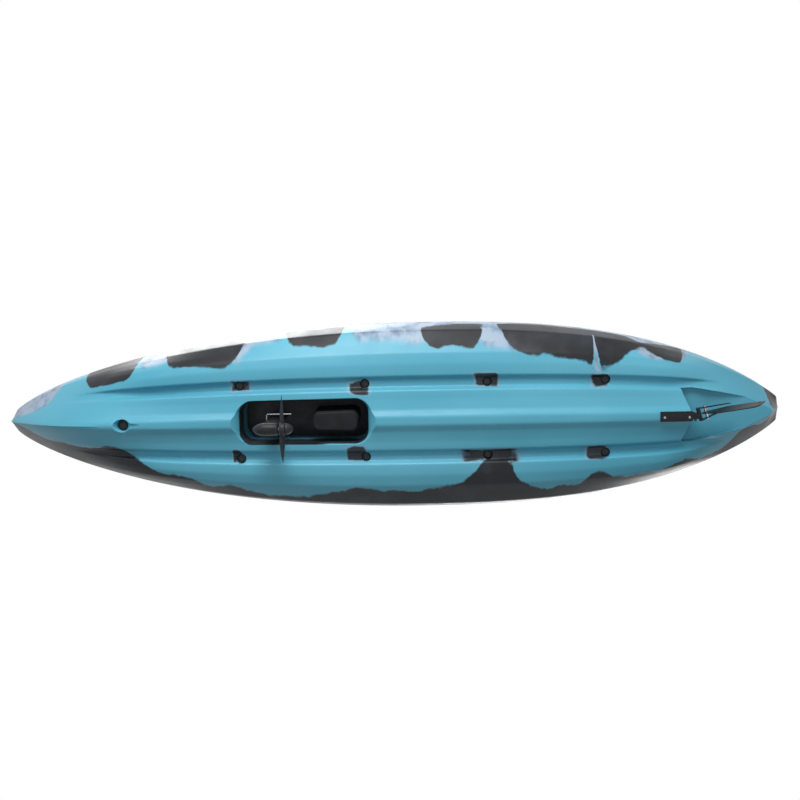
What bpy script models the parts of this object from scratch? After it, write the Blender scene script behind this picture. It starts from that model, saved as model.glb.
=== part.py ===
# Pedal kayak: a hollow moulded hull with a propeller drive, a rudder, a framed seat and deck fittings.
# Metres. +X is forward, +Y is port, +Z is up. The origin is on the keel's flat, amidships.

import math

import bmesh
import bpy
from mathutils import Matrix, Vector

# Hull
LENGTH = 3.66
BEAM = 0.875
DECK_HEIGHT = 0.300
WALL = 0.005
END_THICKENING = 1.0
END_ROOM = 0.008
WIDEST_X = -0.121
TIP_HALF_WIDTH = 0.033
TIP_ROUND = 0.020
STATIONS = 22
BOW_SHEER = 0.085
STERN_SHEER = 0.060
DECK_CROWN = 0.034
GUNWALE_ROUND = 0.014
DECK_MARGIN = 0.050

# Hull bottom, half-breadths and heights above the keel's flat
KEEL_FLAT = 0.040
BLOCK_HALF = 0.138
BLOCK_RISE = 0.036
CHANNEL_OUTER = 0.202
CHANNEL_HEIGHT = 0.063
CHANNEL_SLOPE = 0.012
SPONSON_RISE = 0.040
SIDE_LEAN = 0.0325
CHINE_HALF = BEAM / 2 - SIDE_LEAN
CHINE_HEIGHT = 0.125
BOW_KEEL_START = 1.25
BOW_KEEL_RISE = 0.26
TRANSOM_X = -1.335
STERN_KEEL_RISE = 0.175
STERN_CREASE_X = -1.741
STERN_CAP_RISE = 0.13

# Openings in the hull
SCUPPER_RADIUS = 0.022
SCUPPER_Y = 0.168
SCUPPER_X = (0.711, 0.139, -0.420, -0.960)
BOW_SCUPPER_X = 1.242
BOW_SCUPPER_RADIUS = 0.025
BOW_SCUPPER_CONE = 0.040
BOW_SCUPPER_TAIL = 0.095
WELL_AFT_X = 0.128
WELL_LENGTH = 0.582
WELL_HALF = 0.0925
WELL_AFT_HALF = 0.1000
WELL_CORNER = 0.058
WELL_FLARE = 0.042
COCKPIT_AFT_X = -0.580
COCKPIT_FORE_X = 0.930
SIDE_DECK = 0.0925
COCKPIT_HALF = BEAM / 2 - SIDE_DECK
COCKPIT_FLOOR = 0.120
COCKPIT_DRAFT = 0.045
CONSOLE_MARGIN = 0.052
CONSOLE_HALF = 0.118
CONSOLE_TOP = 0.285
TANK_AFT_X = -1.380
TANK_FORE_X = -0.760
TANK_SIDE_DECK = 0.1625
TANK_HALF = BEAM / 2 - TANK_SIDE_DECK
TANK_FLOOR = 0.165
BOW_TUB_AFT_X = 1.080
BOW_TUB_FORE_X = 1.450
BOW_TUB_HALF = 0.150
BOW_TUB_FLOOR = 0.110
HATCH_RISE = 0.012
HATCH_SEAT = DECK_HEIGHT + HATCH_RISE
HATCH_LIP = 0.026
HATCH_FORE_ROOM = 0.055
HATCH_FORE_HALF = 0.125
HATCH_THICKNESS = 0.026
HATCH_HINGE_RADIUS = 0.008
ROUND_HATCH_X = -0.028
ROUND_HATCH_RADIUS = 0.066
ROD_HOLDER_X = -0.668
ROD_HOLDER_INSET = 0.1375
ROD_HOLDER_Y = BEAM / 2 - ROD_HOLDER_INSET
ROD_HOLDER_BORE = 0.0205
ROD_HOLDER_WALL = 0.003
ROD_HOLDER_DEPTH = 0.165
ROD_HOLDER_LEAN = math.radians(24)
TUNNEL_HALF = 0.128
TUNNEL_END_HALF = 0.046
TUNNEL_HEIGHT = 0.100
TUNNEL_END_HEIGHT = 0.138
TUNNEL_CHEVRON = 0.035

# Drive
DRIVE_X = 0.565
CRANK_HEIGHT = 0.500
PROP_DEPTH = 0.200
CRANK_LENGTH = 0.145
BASE_THICKNESS = 0.012
CASE_HALF = 0.034
CASE_WALL = 0.003
UPPER_MODULE = 0.0024
LOWER_MODULE = 0.0020
CRANK_GEAR_TEETH = 44
UPPER_PINION_TEETH = 8
LOWER_GEAR_TEETH = 14
PROP_PINION_TEETH = 9
CASE_MARGIN = 0.008
AXLE_RADIUS = 0.008
SHAFT_RADIUS = 0.006
PROP_SHAFT_RADIUS = 0.006
BEARING_WALL = 0.004
BEARING_LENGTH = 0.009
LEG_CHORD = 0.078
LEG_THICKNESS = 0.034
POD_RADIUS = 0.029
POD_LENGTH = 0.112
POD_WALL = 0.006
PROP_RADIUS = 0.147
HUB_RADIUS = 0.029
HUB_LENGTH = 0.026
NUT_LENGTH = 0.036
NUT_GRIP = 0.018
BLADE_ROOT = 0.034
BLADE_SWELL = 0.022
BLADE_TIP_CUT = 0.020
PEDAL_LENGTH = 0.090
PEDAL_WIDTH = 0.095
PEDAL_THICKNESS = 0.026
SPINDLE_RADIUS = 0.005
ARM_THICKNESS = 0.012
CRANK_AXLE_HALF = 0.054
CASE_NECK = 0.074
LEG_BORE = 0.0105
POD_AFT = 0.055
HUB_GAP = 0.004
BASE_MARGIN_AFT = 0.032
LATCH_STUD = 0.014
LATCH_STUD_RADIUS = 0.0045
FAIRING_LENGTH = 0.215
FAIRING_HALF = 0.050
FAIRING_BOTTOM = 0.045
STAY_AHEAD = 0.021
STAY_Y = 0.040
STAY_LENGTH = 0.112
STAY_HEIGHT = 0.020
STAY_RADIUS = 0.0022

# Rudder
RUDDER_DEFLECTION = math.radians(16.6)
RUDDER_RAKE = math.radians(45)
BRACKET_LENGTH = 0.140
BRACKET_HALF = 0.023
BRACKET_PLATE = 0.006
RUDDER_PIN_AFT = 0.026
RUDDER_PIN_RADIUS = 0.004
LUG_RADIUS = 0.013
FORK_HEIGHT = 0.042
FORK_HALF = 0.030
FORK_LENGTH = 0.165
FORK_PLATE = 0.003
BLADE_LENGTH = 0.300
BLADE_CHORD = 0.105
BLADE_THICKNESS = 0.004
BLADE_BOLT_AFT = 0.050
BLADE_BOLT_RADIUS = 0.004
FORK_BAR = 0.018
TILLER_PLATE = 0.005
TILLER_LENGTH = 0.030

# Seat
SEAT_AFT_X = -0.520
SEAT_FORE_X = -0.140
SEAT_HALF = 0.205
SEAT_HEIGHT = 0.215
SEAT_TUBE = 0.0125
BACK_TUBE = 0.0105
BACK_PIVOT_X = -0.545
BACK_PIVOT_Z = 0.290
BACK_LENGTH = 0.450
BACK_RECLINE = math.radians(12)
CUSHION_THICKNESS = 0.032
HINGE_PLATE = 0.004
RUNNER_HALF = 0.0145
RUNNER_END = 0.030
RUNNER_HEIGHT = 0.012
HINGE_BOLT = 0.004
SEAT_LEG_INSET = 0.050

# Deck fittings
BOW_HANDLE_X = 1.640
STERN_HANDLE_X = -1.600
HANDLE_SPAN = 0.130
HANDLE_RISE = 0.032
HANDLE_GRIP = 0.009
HANDLE_FOOT = 0.015
HANDLE_FOOT_HALF_WIDTH = 0.022
HANDLE_BOLT_Y = 0.016
HANDLE_FOOT_HEIGHT = 0.008
PAD_DEPTH = 0.001
PAD_MARGIN = 0.002
RAIL_AFT_X = -0.500
RAIL_LENGTH = 0.360
RAIL_INSET = 0.0535
RAIL_Y = BEAM / 2 - RAIL_INSET
RAIL_WIDTH = 0.030
RAIL_HEIGHT = 0.011
RAIL_WALL = 0.002
RAIL_SLOT = 0.012
SCREW_HEAD = 0.0042
SCREW_RISE = 0.003
HEAD_SINK = 0.001
BAIL_X = 0.130
BAIL_LENGTH = 0.150
BAIL_INSET = 0.0355
BAIL_PIVOT_Y = BEAM / 2 - BAIL_INSET
BAIL_REACH = 0.044
BAIL_PIVOT_RISE = 0.0115
BAIL_RADIUS = 0.004
BAIL_GRIP = 0.009
BRACKET_WIDTH = 0.020
TANK_EYE_STEP = 0.280
EYE_FOOT = 0.009
EYE_HALF = 0.012
EYE_WIRE = 0.0022
EYE_RISE = 0.015
CORD_RADIUS = 0.003
CORD_CLEAR = 0.006
CORD_ROOM = 0.0007
CORD_CROSS = 0.008
CORD_END = 0.0165
EYE_PLATE = 0.003
DRAIN_X = -1.445
DRAIN_RADIUS = 0.012
DRAIN_FLANGE = 0.018
LEVER_X = 0.330
LEVER_INSET = 0.0595
LEVER_Y = BEAM / 2 - LEVER_INSET
LEVER_BASE = 0.022
LEVER_LENGTH = 0.090
CABLE_RADIUS = 0.003
GLAND_Y = 0.026
GLAND_HEIGHT = 0.064

# Clearances
GAP = 0.0003
RUNNING_GAP = 0.0006
REACH = 0.05
ROUND = 12
SIDES = (("port", 1), ("starboard", -1))

MATERIALS = {
    "hull_plastic": ((0.27, 0.58, 0.66, 1), 0.42, 0.0),
    "black_plastic": ((0.03, 0.03, 0.035, 1), 0.45, 0.0),
    "grey_plastic": ((0.16, 0.17, 0.19, 1), 0.5, 0.0),
    "rubber": ((0.02, 0.02, 0.02, 1), 0.8, 0.0),
    "aluminium": ((0.62, 0.64, 0.66, 1), 0.32, 1.0),
    "steel": ((0.72, 0.72, 0.74, 1), 0.22, 1.0),
    "fabric": ((0.05, 0.05, 0.06, 1), 0.9, 0.0),
    "cord": ((0.04, 0.04, 0.05, 1), 0.85, 0.0),
}


def clear_scene():
    for item in list(bpy.data.objects):
        bpy.data.objects.remove(item)


def material(name):
    found = bpy.data.materials.get(name)
    if found:
        return found
    colour, roughness, metallic = MATERIALS[name]
    made = bpy.data.materials.new(name)
    made.use_nodes = True
    shader = made.node_tree.nodes["Principled BSDF"]
    shader.inputs["Base Color"].default_value = colour
    shader.inputs["Roughness"].default_value = roughness
    shader.inputs["Metallic"].default_value = metallic
    return made


def place(name, bm, finish):
    """Close the bmesh into an object of its own with faces pointing out."""
    bmesh.ops.recalc_face_normals(bm, faces=bm.faces[:])
    if bm.calc_volume(signed=True) < 0:
        bmesh.ops.reverse_faces(bm, faces=bm.faces[:])
    mesh = bpy.data.meshes.new(name)
    bm.to_mesh(mesh)
    bm.free()
    made = bpy.data.objects.new(name, mesh)
    bpy.context.scene.collection.objects.link(made)
    mesh.materials.append(material(finish))
    return made


def apply_boolean(target, tool, operation):
    modifier = target.modifiers.new("join", "BOOLEAN")
    modifier.operation = operation
    modifier.solver = "EXACT"
    modifier.object = tool
    bpy.context.view_layer.update()
    graph = bpy.context.evaluated_depsgraph_get()
    mesh = bpy.data.meshes.new_from_object(target.evaluated_get(graph))
    target.modifiers.clear()
    target.data = mesh
    bpy.data.objects.remove(tool)
    return target


def cut(target, tool):
    return apply_boolean(target, tool, "DIFFERENCE")


def fuse(target, tool):
    return apply_boolean(target, tool, "UNION")


def smooth(made, angle=35):
    made.data.shade_smooth()
    made.data.set_sharp_from_angle(angle=math.radians(angle))
    return made


def bridge(bm, rings, closed=False):
    """Skin rings of equally many vertices, and cap the two ends."""
    count = len(rings[0])
    pairs = list(zip(rings, rings[1:]))
    if closed:
        pairs.append((rings[-1], rings[0]))
    for lower, upper in pairs:
        for i in range(count):
            j = (i + 1) % count
            bm.faces.new((lower[i], lower[j], upper[j], upper[i]))
    if not closed:
        bm.faces.new(rings[0][::-1])
        bm.faces.new(rings[-1])


def loft(name, rings, finish, closed=False):
    bm = bmesh.new()
    bridge(bm, [[bm.verts.new(point) for point in ring] for ring in rings], closed)
    return place(name, bm, finish)


def frame_along(direction):
    """Two directions square to the given one."""
    axis = Vector(direction).normalized()
    side = axis.cross(Vector((0, 0, 1)))
    if side.length < 0.1:
        side = Vector((1, 0, 0))
    side = (side - axis * side.dot(axis)).normalized()
    return axis, side, axis.cross(side)


def circle(centre, direction, radius, count):
    axis, side, other = frame_along(direction)
    centre = Vector(centre)
    ring = []
    for i in range(count):
        angle = 2 * math.pi * i / count
        ring.append(centre + radius * (math.cos(angle) * side + math.sin(angle) * other))
    return ring


def turned(name, start, direction, profile, finish, count=16, bore=False):
    """Turn (distance, radius) pairs about the line from start. A bore closes the profile on itself."""
    axis = Vector(direction).normalized()
    start = Vector(start)
    rings = [circle(start + axis * along, axis, radius, count) for along, radius in profile]
    return loft(name, rings, finish, closed=bore)


def rod(name, start, end, radius, finish, count=16):
    start = Vector(start)
    length = (Vector(end) - start).length
    return turned(name, start, Vector(end) - start, ((0, radius), (length, radius)), finish, count)


def ring_part(name, start, end, outer, inner, finish, count=ROUND):
    start = Vector(start)
    length = (Vector(end) - start).length
    profile = ((0, inner), (0, outer), (length, outer), (length, inner))
    return turned(name, start, Vector(end) - start, profile, finish, count, bore=True)


def block(name, low, high, finish, bevel=0.0, segments=2):
    bm = bmesh.new()
    bmesh.ops.create_cube(bm, size=1)
    middle = [(a + b) / 2 for a, b in zip(low, high)]
    spread = [b - a for a, b in zip(low, high)]
    bmesh.ops.scale(bm, vec=spread, verts=bm.verts[:])
    bmesh.ops.translate(bm, vec=middle, verts=bm.verts[:])
    if bevel:
        bmesh.ops.bevel(bm, geom=bm.edges[:], offset=bevel, segments=segments, profile=0.5,
                        affect="EDGES", material=-1)
    return place(name, bm, finish)


def rounded_outline(corners, radius, grow=0.0, steps=5):
    """Round a convex anticlockwise outline. Grow moves every side out by that much."""
    count = len(corners)
    normals = []
    for i in range(count):
        a = Vector(corners[i])
        b = Vector(corners[(i + 1) % count])
        along = (b - a).normalized()
        normals.append(Vector((along.y, -along.x)))
    outline = []
    for i in range(count):
        before = normals[i - 1]
        after = normals[i]
        corner = Vector(corners[i])
        centre = corner - (before + after) * radius / (1 + before.dot(after))
        start = math.atan2(before.y, before.x)
        turn = (math.atan2(after.y, after.x) - start) % (2 * math.pi)
        for step in range(steps + 1):
            angle = start + turn * step / steps
            reach = radius + grow
            outline.append((centre.x + reach * math.cos(angle), centre.y + reach * math.sin(angle)))
    return outline


def plan_loft(name, corners, radius, levels, finish, steps=5):
    """Stack plan outlines at heights. Each level is (height, how far its sides move out)."""
    rings = []
    for height, grow in levels:
        rings.append([(x, y, height) for x, y in rounded_outline(corners, radius, grow, steps)])
    return loft(name, rings, finish)


def screw_head(base, direction, radius, rise, finish):
    """A screw's head, sunk a little into the face that it clamps."""
    profile = ((-HEAD_SINK, radius), (rise * 0.5, radius), (rise, radius * 0.7))
    return turned("screw_head", base, direction, profile, finish, 6)


def side_loft(name, outline, near, far, finish):
    """Extrude an XZ outline from one Y to another."""
    rings = [[(x, y, z) for x, z in outline] for y in (near, far)]
    return loft(name, rings, finish)


def rectangle(aft, fore, half_aft, half_fore):
    return [(aft, -half_aft), (fore, -half_fore), (fore, half_fore), (aft, half_aft)]


def tube(name, points, radius, finish, sides=8, closed=False):
    """Sweep a round tube through points with mitred joints."""
    path = [Vector(point) for point in points]
    count = len(path)
    tangents = []
    for i, point in enumerate(path):
        before = path[i - 1] if (i or closed) else point
        after = path[(i + 1) % count] if (i < count - 1 or closed) else point
        tangents.append((after - before).normalized())
    _, side, _ = frame_along(tangents[0])
    rings = []
    for point, tangent in zip(path, tangents):
        side = (side - tangent * side.dot(tangent)).normalized()
        other = tangent.cross(side)
        ring = []
        for i in range(sides):
            angle = 2 * math.pi * (i + 0.5) / sides
            ring.append(point + radius * (math.cos(angle) * side + math.sin(angle) * other))
        rings.append(ring)
    return loft(name, rings, finish, closed=closed)


def flat_of(radius, sides=8):
    """Distance from a swept tube's centre to its flats."""
    return radius * math.cos(math.pi / sides)


def smooth_step(value):
    value = min(max(value, 0.0), 1.0)
    return value * value * (3 - 2 * value)


def soft_minimum(a, b):
    return (a ** -6 + b ** -6) ** (-1 / 6)


# Hull lines

def half_beam(x):
    half = BEAM / 2
    if x >= WIDEST_X:
        share = (x - WIDEST_X) / (LENGTH / 2 - WIDEST_X)
        fullness = max(1 - share ** 2, 0.0) ** 0.72
    else:
        share = (WIDEST_X - x) / (LENGTH / 2 + WIDEST_X)
        fullness = max(1 - share ** 2.6, 0.0) ** 0.81
    width = TIP_HALF_WIDTH + (half - TIP_HALF_WIDTH) * fullness
    into_tip = max(abs(x) - (LENGTH / 2 - TIP_ROUND), 0.0) / TIP_ROUND
    return width * (1 - 0.62 * into_tip ** 2)


def keel_height(x):
    if x > BOW_KEEL_START:
        return BOW_KEEL_RISE * ((x - BOW_KEEL_START) / (LENGTH / 2 - BOW_KEEL_START)) ** 2.4
    if x < TRANSOM_X:
        share = (TRANSOM_X - x) / (TRANSOM_X + LENGTH / 2)
        cap = (STERN_CREASE_X - x) / (STERN_CREASE_X + LENGTH / 2)
        return STERN_KEEL_RISE * share ** 1.6 + STERN_CAP_RISE * max(cap, 0.0) ** 1.2
    return 0.0


def gunwale_height(x):
    bow = max(x - 0.8, 0.0) / (LENGTH / 2 - 0.8)
    stern = max(-x - 1.0, 0.0) / (LENGTH / 2 - 1.0)
    return DECK_HEIGHT + BOW_SHEER * bow ** 2 + STERN_SHEER * stern ** 2


def crown(x):
    bow = smooth_step((x - 0.90) / 0.25)
    stern = smooth_step((-x - 1.40) / 0.20)
    return DECK_CROWN * max(bow, stern) * half_beam(x) / half_beam(1.0)


def chine_height(x):
    bow = max(x - 0.5, 0.0) / (LENGTH / 2 - 0.5)
    stern = max(-x - 0.7, 0.0) / (LENGTH / 2 - 0.7)
    plain = CHINE_HEIGHT + 0.19 * bow ** 2 + 0.14 * stern ** 2
    return max(plain, keel_height(x) + 0.012)


def bottom_lines():
    """Half-breadth, height above the keel and widest share of the chine, from keel to chine."""
    floor_in = BLOCK_HALF + CHANNEL_SLOPE
    floor_out = CHANNEL_OUTER - CHANNEL_SLOPE
    sponson = CHINE_HALF - CHANNEL_OUTER
    return (
        (KEEL_FLAT / 2, 0.0, 0.30),
        (KEEL_FLAT / 2 + 0.028, BLOCK_RISE * 0.52, 0.38),
        (BLOCK_HALF - 0.040, BLOCK_RISE * 0.86, 0.46),
        (BLOCK_HALF, BLOCK_RISE, 0.58),
        (floor_in, CHANNEL_HEIGHT, 0.62),
        (floor_out, CHANNEL_HEIGHT, 0.70),
        (CHANNEL_OUTER, SPONSON_RISE, 0.74),
        (CHANNEL_OUTER + sponson * 0.30, SPONSON_RISE + 0.004, 0.82),
        (CHANNEL_OUTER + sponson * 0.62, SPONSON_RISE + 0.018, 0.90),
        (CHANNEL_OUTER + sponson * 0.85, SPONSON_RISE + 0.043, 0.96),
    )


def half_section(x):
    """Starboard-to-port half of one station, from the keel's centre up to the deck's centre."""
    beam = half_beam(x)
    share = beam / (BEAM / 2)
    chine = min(CHINE_HALF * share, beam - 0.002)
    keel = keel_height(x)
    rise = chine_height(x) - keel
    ends = max(smooth_step((x - 1.05) / 0.50), smooth_step((-x - 1.20) / 0.35))
    points = [(0.0, keel)]
    for half, height, limit in bottom_lines():
        y = soft_minimum(half * 1.01 * share ** 0.4, limit * chine)
        plain = (y / chine) ** 1.15
        shaped = height / CHINE_HEIGHT
        points.append((y, keel + rise * (shaped + (plain - shaped) * ends)))
    points.append((chine, keel + rise))
    top = gunwale_height(x)
    side = chine_height(x)
    rounding = min(GUNWALE_ROUND, beam * 0.3)
    margin = min(DECK_MARGIN, beam * 0.6)
    points.append((chine + (beam - chine) * 0.80, side + (top - side) * 0.50))
    points.append((beam, top - rounding))
    points.append((beam - rounding * 0.3, top - rounding * 0.3))
    points.append((beam - rounding, top))
    points.append((beam - margin, top + crown(x) * 0.12))
    points.append((beam * 0.5, top + crown(x) * 0.80))
    points.append((0.0, top + crown(x)))
    return points


def offset_section(points, inset):
    """Move a half section inwards by an even wall, keeping its ends on the centreline."""
    if not inset:
        return points
    moved = []
    last = len(points) - 1
    for i, (y, z) in enumerate(points):
        if i in (0, last):
            moved.append((0.0, z + inset * (1 if i == 0 else -1)))
            continue
        before = Vector(points[i]) - Vector(points[i - 1])
        after = Vector(points[i + 1]) - Vector(points[i])
        first = Vector((-before.y, before.x)).normalized()
        second = Vector((-after.y, after.x)).normalized()
        push = (first + second) * inset / max(1 + first.dot(second), 0.5)
        moved.append((max(y + push.x, 0.001 * i), z + push.y))
    return moved


def station_places(reach):
    """Stations lie closer together towards the two ends. Both skins share them, which keeps the wall even."""
    places = [LENGTH / 2 * math.cos(math.pi * i / STATIONS) for i in range(STATIONS + 1)]
    nearest = min(places, key=lambda x: abs(x - STERN_CREASE_X))
    places[places.index(nearest)] = STERN_CREASE_X
    return [reach] + [x for x in places if abs(x) < reach - END_ROOM] + [-reach]


def hull_loft(name, inset):
    """The outer skin, or with an inset the hollow inside it. The wall grows thicker towards the two ends."""
    reach = LENGTH / 2 - inset * 12
    rings = []
    for x in station_places(reach):
        thicker = 1 + END_THICKENING * smooth_step((abs(x) - 1.60) / 0.14)
        half = offset_section(half_section(x), inset * thicker)
        port = [(x, y, z) for y, z in half]
        starboard = [(x, -y, z) for y, z in half[-2:0:-1]]
        rings.append(port + starboard)
    return loft(name, rings, "hull_plastic")


# Hull cutters. With grow they leave a wall of that thickness round the opening.

def well_corners():
    fore = WELL_AFT_X + WELL_LENGTH
    return [(WELL_AFT_X, -WELL_AFT_HALF), (fore, -WELL_HALF), (fore, WELL_HALF), (WELL_AFT_X, WELL_AFT_HALF)]


def well_cutter(grow):
    lift = grow
    levels = (
        (-REACH, WELL_FLARE * 1.25 + grow),
        (-0.004 + lift, WELL_FLARE + grow),
        (0.016 + lift, WELL_FLARE * 0.55 + grow),
        (0.036 + lift, WELL_FLARE * 0.20 + grow),
        (0.060 + lift, grow),
        (DECK_HEIGHT + REACH, grow),
    )
    return plan_loft("well_cutter", well_corners(), WELL_CORNER, levels, "hull_plastic", steps=5)


def cockpit_corners():
    middle = COCKPIT_AFT_X + 0.26
    shoulder = COCKPIT_FORE_X - 0.60
    half = COCKPIT_HALF
    port = [(COCKPIT_FORE_X, 0.64 * half), (shoulder, half), (middle, half), (COCKPIT_AFT_X, 0.86 * half)]
    return [(x, -y) for x, y in port[::-1]] + port


def console_corners():
    aft = WELL_AFT_X - CONSOLE_MARGIN
    fore = WELL_AFT_X + WELL_LENGTH + CONSOLE_MARGIN
    return rectangle(aft, fore, CONSOLE_HALF, CONSOLE_HALF)


def cockpit_cutter(grow):
    top = DECK_HEIGHT + 0.2
    levels = (
        (COCKPIT_FLOOR - grow, grow - COCKPIT_DRAFT - 0.012),
        (COCKPIT_FLOOR + 0.012 - grow, grow - COCKPIT_DRAFT),
        (DECK_HEIGHT - 0.012, grow - 0.008),
        (top, grow + 0.004),
    )
    tub = plan_loft("cockpit_cutter", cockpit_corners(), 0.075, levels, "hull_plastic", steps=3)
    island_levels = (
        (COCKPIT_FLOOR - 2 * grow - REACH, 0.010 - grow),
        (COCKPIT_FLOOR + 0.010, 0.010 - grow),
        (CONSOLE_TOP - 0.010 - grow, -grow),
        (CONSOLE_TOP - grow, -0.005 - grow),
    )
    island = plan_loft("island", console_corners(), 0.045, island_levels, "hull_plastic", steps=3)
    return cut(tub, island)


def tank_corners():
    return rectangle(TANK_AFT_X, TANK_FORE_X, 0.55 * TANK_HALF, TANK_HALF)


def tank_cutter(grow):
    top = DECK_HEIGHT + 0.2
    levels = (
        (TANK_FLOOR - grow, grow - 0.030),
        (TANK_FLOOR + 0.010 - grow, grow - 0.022),
        (DECK_HEIGHT - 0.010, grow - 0.004),
        (top, grow),
    )
    return plan_loft("tank_cutter", tank_corners(), 0.060, levels, "hull_plastic", steps=3)


def bow_tub_corners():
    return rectangle(BOW_TUB_AFT_X, BOW_TUB_FORE_X, BOW_TUB_HALF, 0.62 * BOW_TUB_HALF)


def bow_tub_cutter(grow):
    levels = (
        (BOW_TUB_FLOOR - grow, grow - 0.030),
        (BOW_TUB_FLOOR + 0.010 - grow, grow - 0.022),
        (HATCH_SEAT + REACH * 2, grow),
    )
    return plan_loft("bow_tub_cutter", bow_tub_corners(), 0.045, levels, "hull_plastic", steps=3)


def hatch_seat_cutter(grow):
    levels = ((HATCH_SEAT - grow, HATCH_LIP + grow), (HATCH_SEAT + 0.15, HATCH_LIP + grow))
    fore = BOW_TUB_FORE_X + HATCH_FORE_ROOM
    corners = rectangle(BOW_TUB_AFT_X, fore, BOW_TUB_HALF, HATCH_FORE_HALF)
    return plan_loft("hatch_seat_cutter", corners, 0.045, levels, "hull_plastic", steps=3)


def scupper_cutter(x, y, floor, grow):
    radius = SCUPPER_RADIUS + grow
    profile = ((-REACH, radius), (floor + REACH / 2, radius))
    return turned("scupper_cutter", (x, y, 0), (0, 0, 1), profile, "hull_plastic", 12)


def bow_scupper_cutter(grow):
    radius = BOW_SCUPPER_RADIUS + grow
    cone = BOW_SCUPPER_CONE + grow
    profile = ((-REACH, cone + 0.012), (0.0, cone), (0.030 + grow, radius), (BOW_TUB_FLOOR + 0.010, radius))
    hole = turned("bow_scupper_cutter", (BOW_SCUPPER_X, 0, 0), (0, 0, 1), profile, "hull_plastic", 16)
    tail_x = BOW_SCUPPER_X - BOW_SCUPPER_TAIL - grow
    near_x = BOW_SCUPPER_X + 0.004
    half = 0.011 + grow
    lower = [(near_x, -half * 2, -REACH), (near_x, half * 2, -REACH),
             (tail_x, half, -REACH), (tail_x, -half, -REACH)]
    upper = [(near_x, -half * 1.5, 0.020 + grow), (near_x, half * 1.5, 0.020 + grow),
             (tail_x + 0.01, half * 0.5, 0.0005 + grow), (tail_x + 0.01, -half * 0.5, 0.0005 + grow)]
    tail = loft("tail", [lower, upper], "hull_plastic")
    return fuse(hole, tail)


def tunnel_cutter(grow):
    end_x = STERN_CREASE_X - 0.03
    half = TUNNEL_HALF + grow
    end_half = TUNNEL_END_HALF + grow
    nose = TRANSOM_X + grow
    corner = TRANSOM_X + TUNNEL_CHEVRON + grow
    shoulder = TRANSOM_X - 0.02
    plan = [(end_x, -end_half), (shoulder, -half), (corner, -half * 0.98), (nose, -BRACKET_HALF * 1.4),
            (nose, BRACKET_HALF * 1.4), (corner, half * 0.98), (shoulder, half), (end_x, end_half)]
    slope = (TUNNEL_END_HEIGHT - TUNNEL_HEIGHT) / (TRANSOM_X - STERN_CREASE_X)
    lower = [(x, y * 1.20, -REACH * 2) for x, y in plan]
    upper = [(x, y * 0.94, TUNNEL_HEIGHT + grow + slope * (TRANSOM_X - x)) for x, y in plan]
    return loft("tunnel_cutter", [lower, upper], "hull_plastic")


def scuppers():
    for x in SCUPPER_X:
        floor = COCKPIT_FLOOR if x > COCKPIT_AFT_X else TANK_FLOOR
        for y in (-SCUPPER_Y, SCUPPER_Y):
            yield x, y, floor


def carve(body, grow):
    cut(body, tunnel_cutter(grow))
    cut(body, cockpit_cutter(grow))
    cut(body, tank_cutter(grow))
    cut(body, hatch_seat_cutter(grow))
    cut(body, bow_tub_cutter(grow))
    cut(body, well_cutter(grow))
    for x, y, floor in scuppers():
        cut(body, scupper_cutter(x, y, floor, grow))
    cut(body, bow_scupper_cutter(grow))
    for pad in pad_cutters(grow):
        cut(body, pad)
    return body


def make_hull():
    hull = carve(hull_loft("hull", 0.0), 0.0)
    cavity = carve(hull_loft("cavity", WALL), WALL)
    return cut(hull, cavity)


def merge_flat_faces(made):
    """Join faces that lie in one plane."""
    bm = bmesh.new()
    bm.from_mesh(made.data)
    bmesh.ops.dissolve_limit(bm, angle_limit=math.radians(0.5), verts=bm.verts[:], edges=bm.edges[:])
    bmesh.ops.triangulate(bm, faces=bm.faces[:])
    bm.to_mesh(made.data)
    bm.free()
    return made


# Small openings that are drilled after moulding

def sheared_circle(centre, radius, z, lean, count):
    x, y, top = centre
    shift = (top - z) * math.tan(lean)
    ring = []
    for i in range(count):
        angle = 2 * math.pi * i / count
        ring.append((x + shift + radius * math.cos(angle), y + radius * math.sin(angle), z))
    return ring


def rod_holder_centre(side):
    return (ROD_HOLDER_X, side * ROD_HOLDER_Y, DECK_HEIGHT)


def rod_holder_hole(side):
    radius = ROD_HOLDER_BORE + ROD_HOLDER_WALL + 0.001
    heights = (DECK_HEIGHT - 3 * WALL, DECK_HEIGHT + 3 * WALL)
    rings = [sheared_circle(rod_holder_centre(side), radius, z, ROD_HOLDER_LEAN, ROUND) for z in heights]
    return loft("rod_holder_hole", rings, "hull_plastic")


def drill(hull):
    for side in (1, -1):
        cut(hull, rod_holder_hole(side))
    middle = Vector((ROUND_HATCH_X, 0, COCKPIT_FLOOR))
    down = Vector((0, 0, 3 * WALL))
    cut(hull, rod("hatch_hole", middle - down, middle + down, ROUND_HATCH_RADIUS + 0.006, "hull_plastic", 20))
    gland = Vector(gland_place())
    cut(hull, rod("gland_hole", gland - Vector((0.01, 0, 0)), gland + Vector((0.03, 0, 0)),
                  CABLE_RADIUS + 0.0015, "hull_plastic", 10))
    lever = Vector((LEVER_X, LEVER_Y, DECK_HEIGHT))
    cut(hull, rod("lever_hole", lever - down, lever + down, CABLE_RADIUS + 0.0015, "hull_plastic", 10))
    latch = latch_pivot()
    cut(hull, rod("latch_hole", latch - down, latch + down, LATCH_STUD_RADIUS + 0.0015, "hull_plastic", 10))
    drain = Vector((DRAIN_X, 0, drain_seat()))
    cut(hull, rod("drain_hole", drain - down, drain + down, DRAIN_RADIUS + 0.001, "hull_plastic", 16))
    return hull


# Deck fittings

def station_deck(x, y):
    deck = half_section(x)[-3:]
    for (outer, z_outer), (inner, z_inner) in zip(deck, deck[1:]):
        if y >= inner:
            share = (y - inner) / (outer - inner)
            return z_inner + (z_outer - z_inner) * min(share, 1.0)
    return deck[-1][1]


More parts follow.
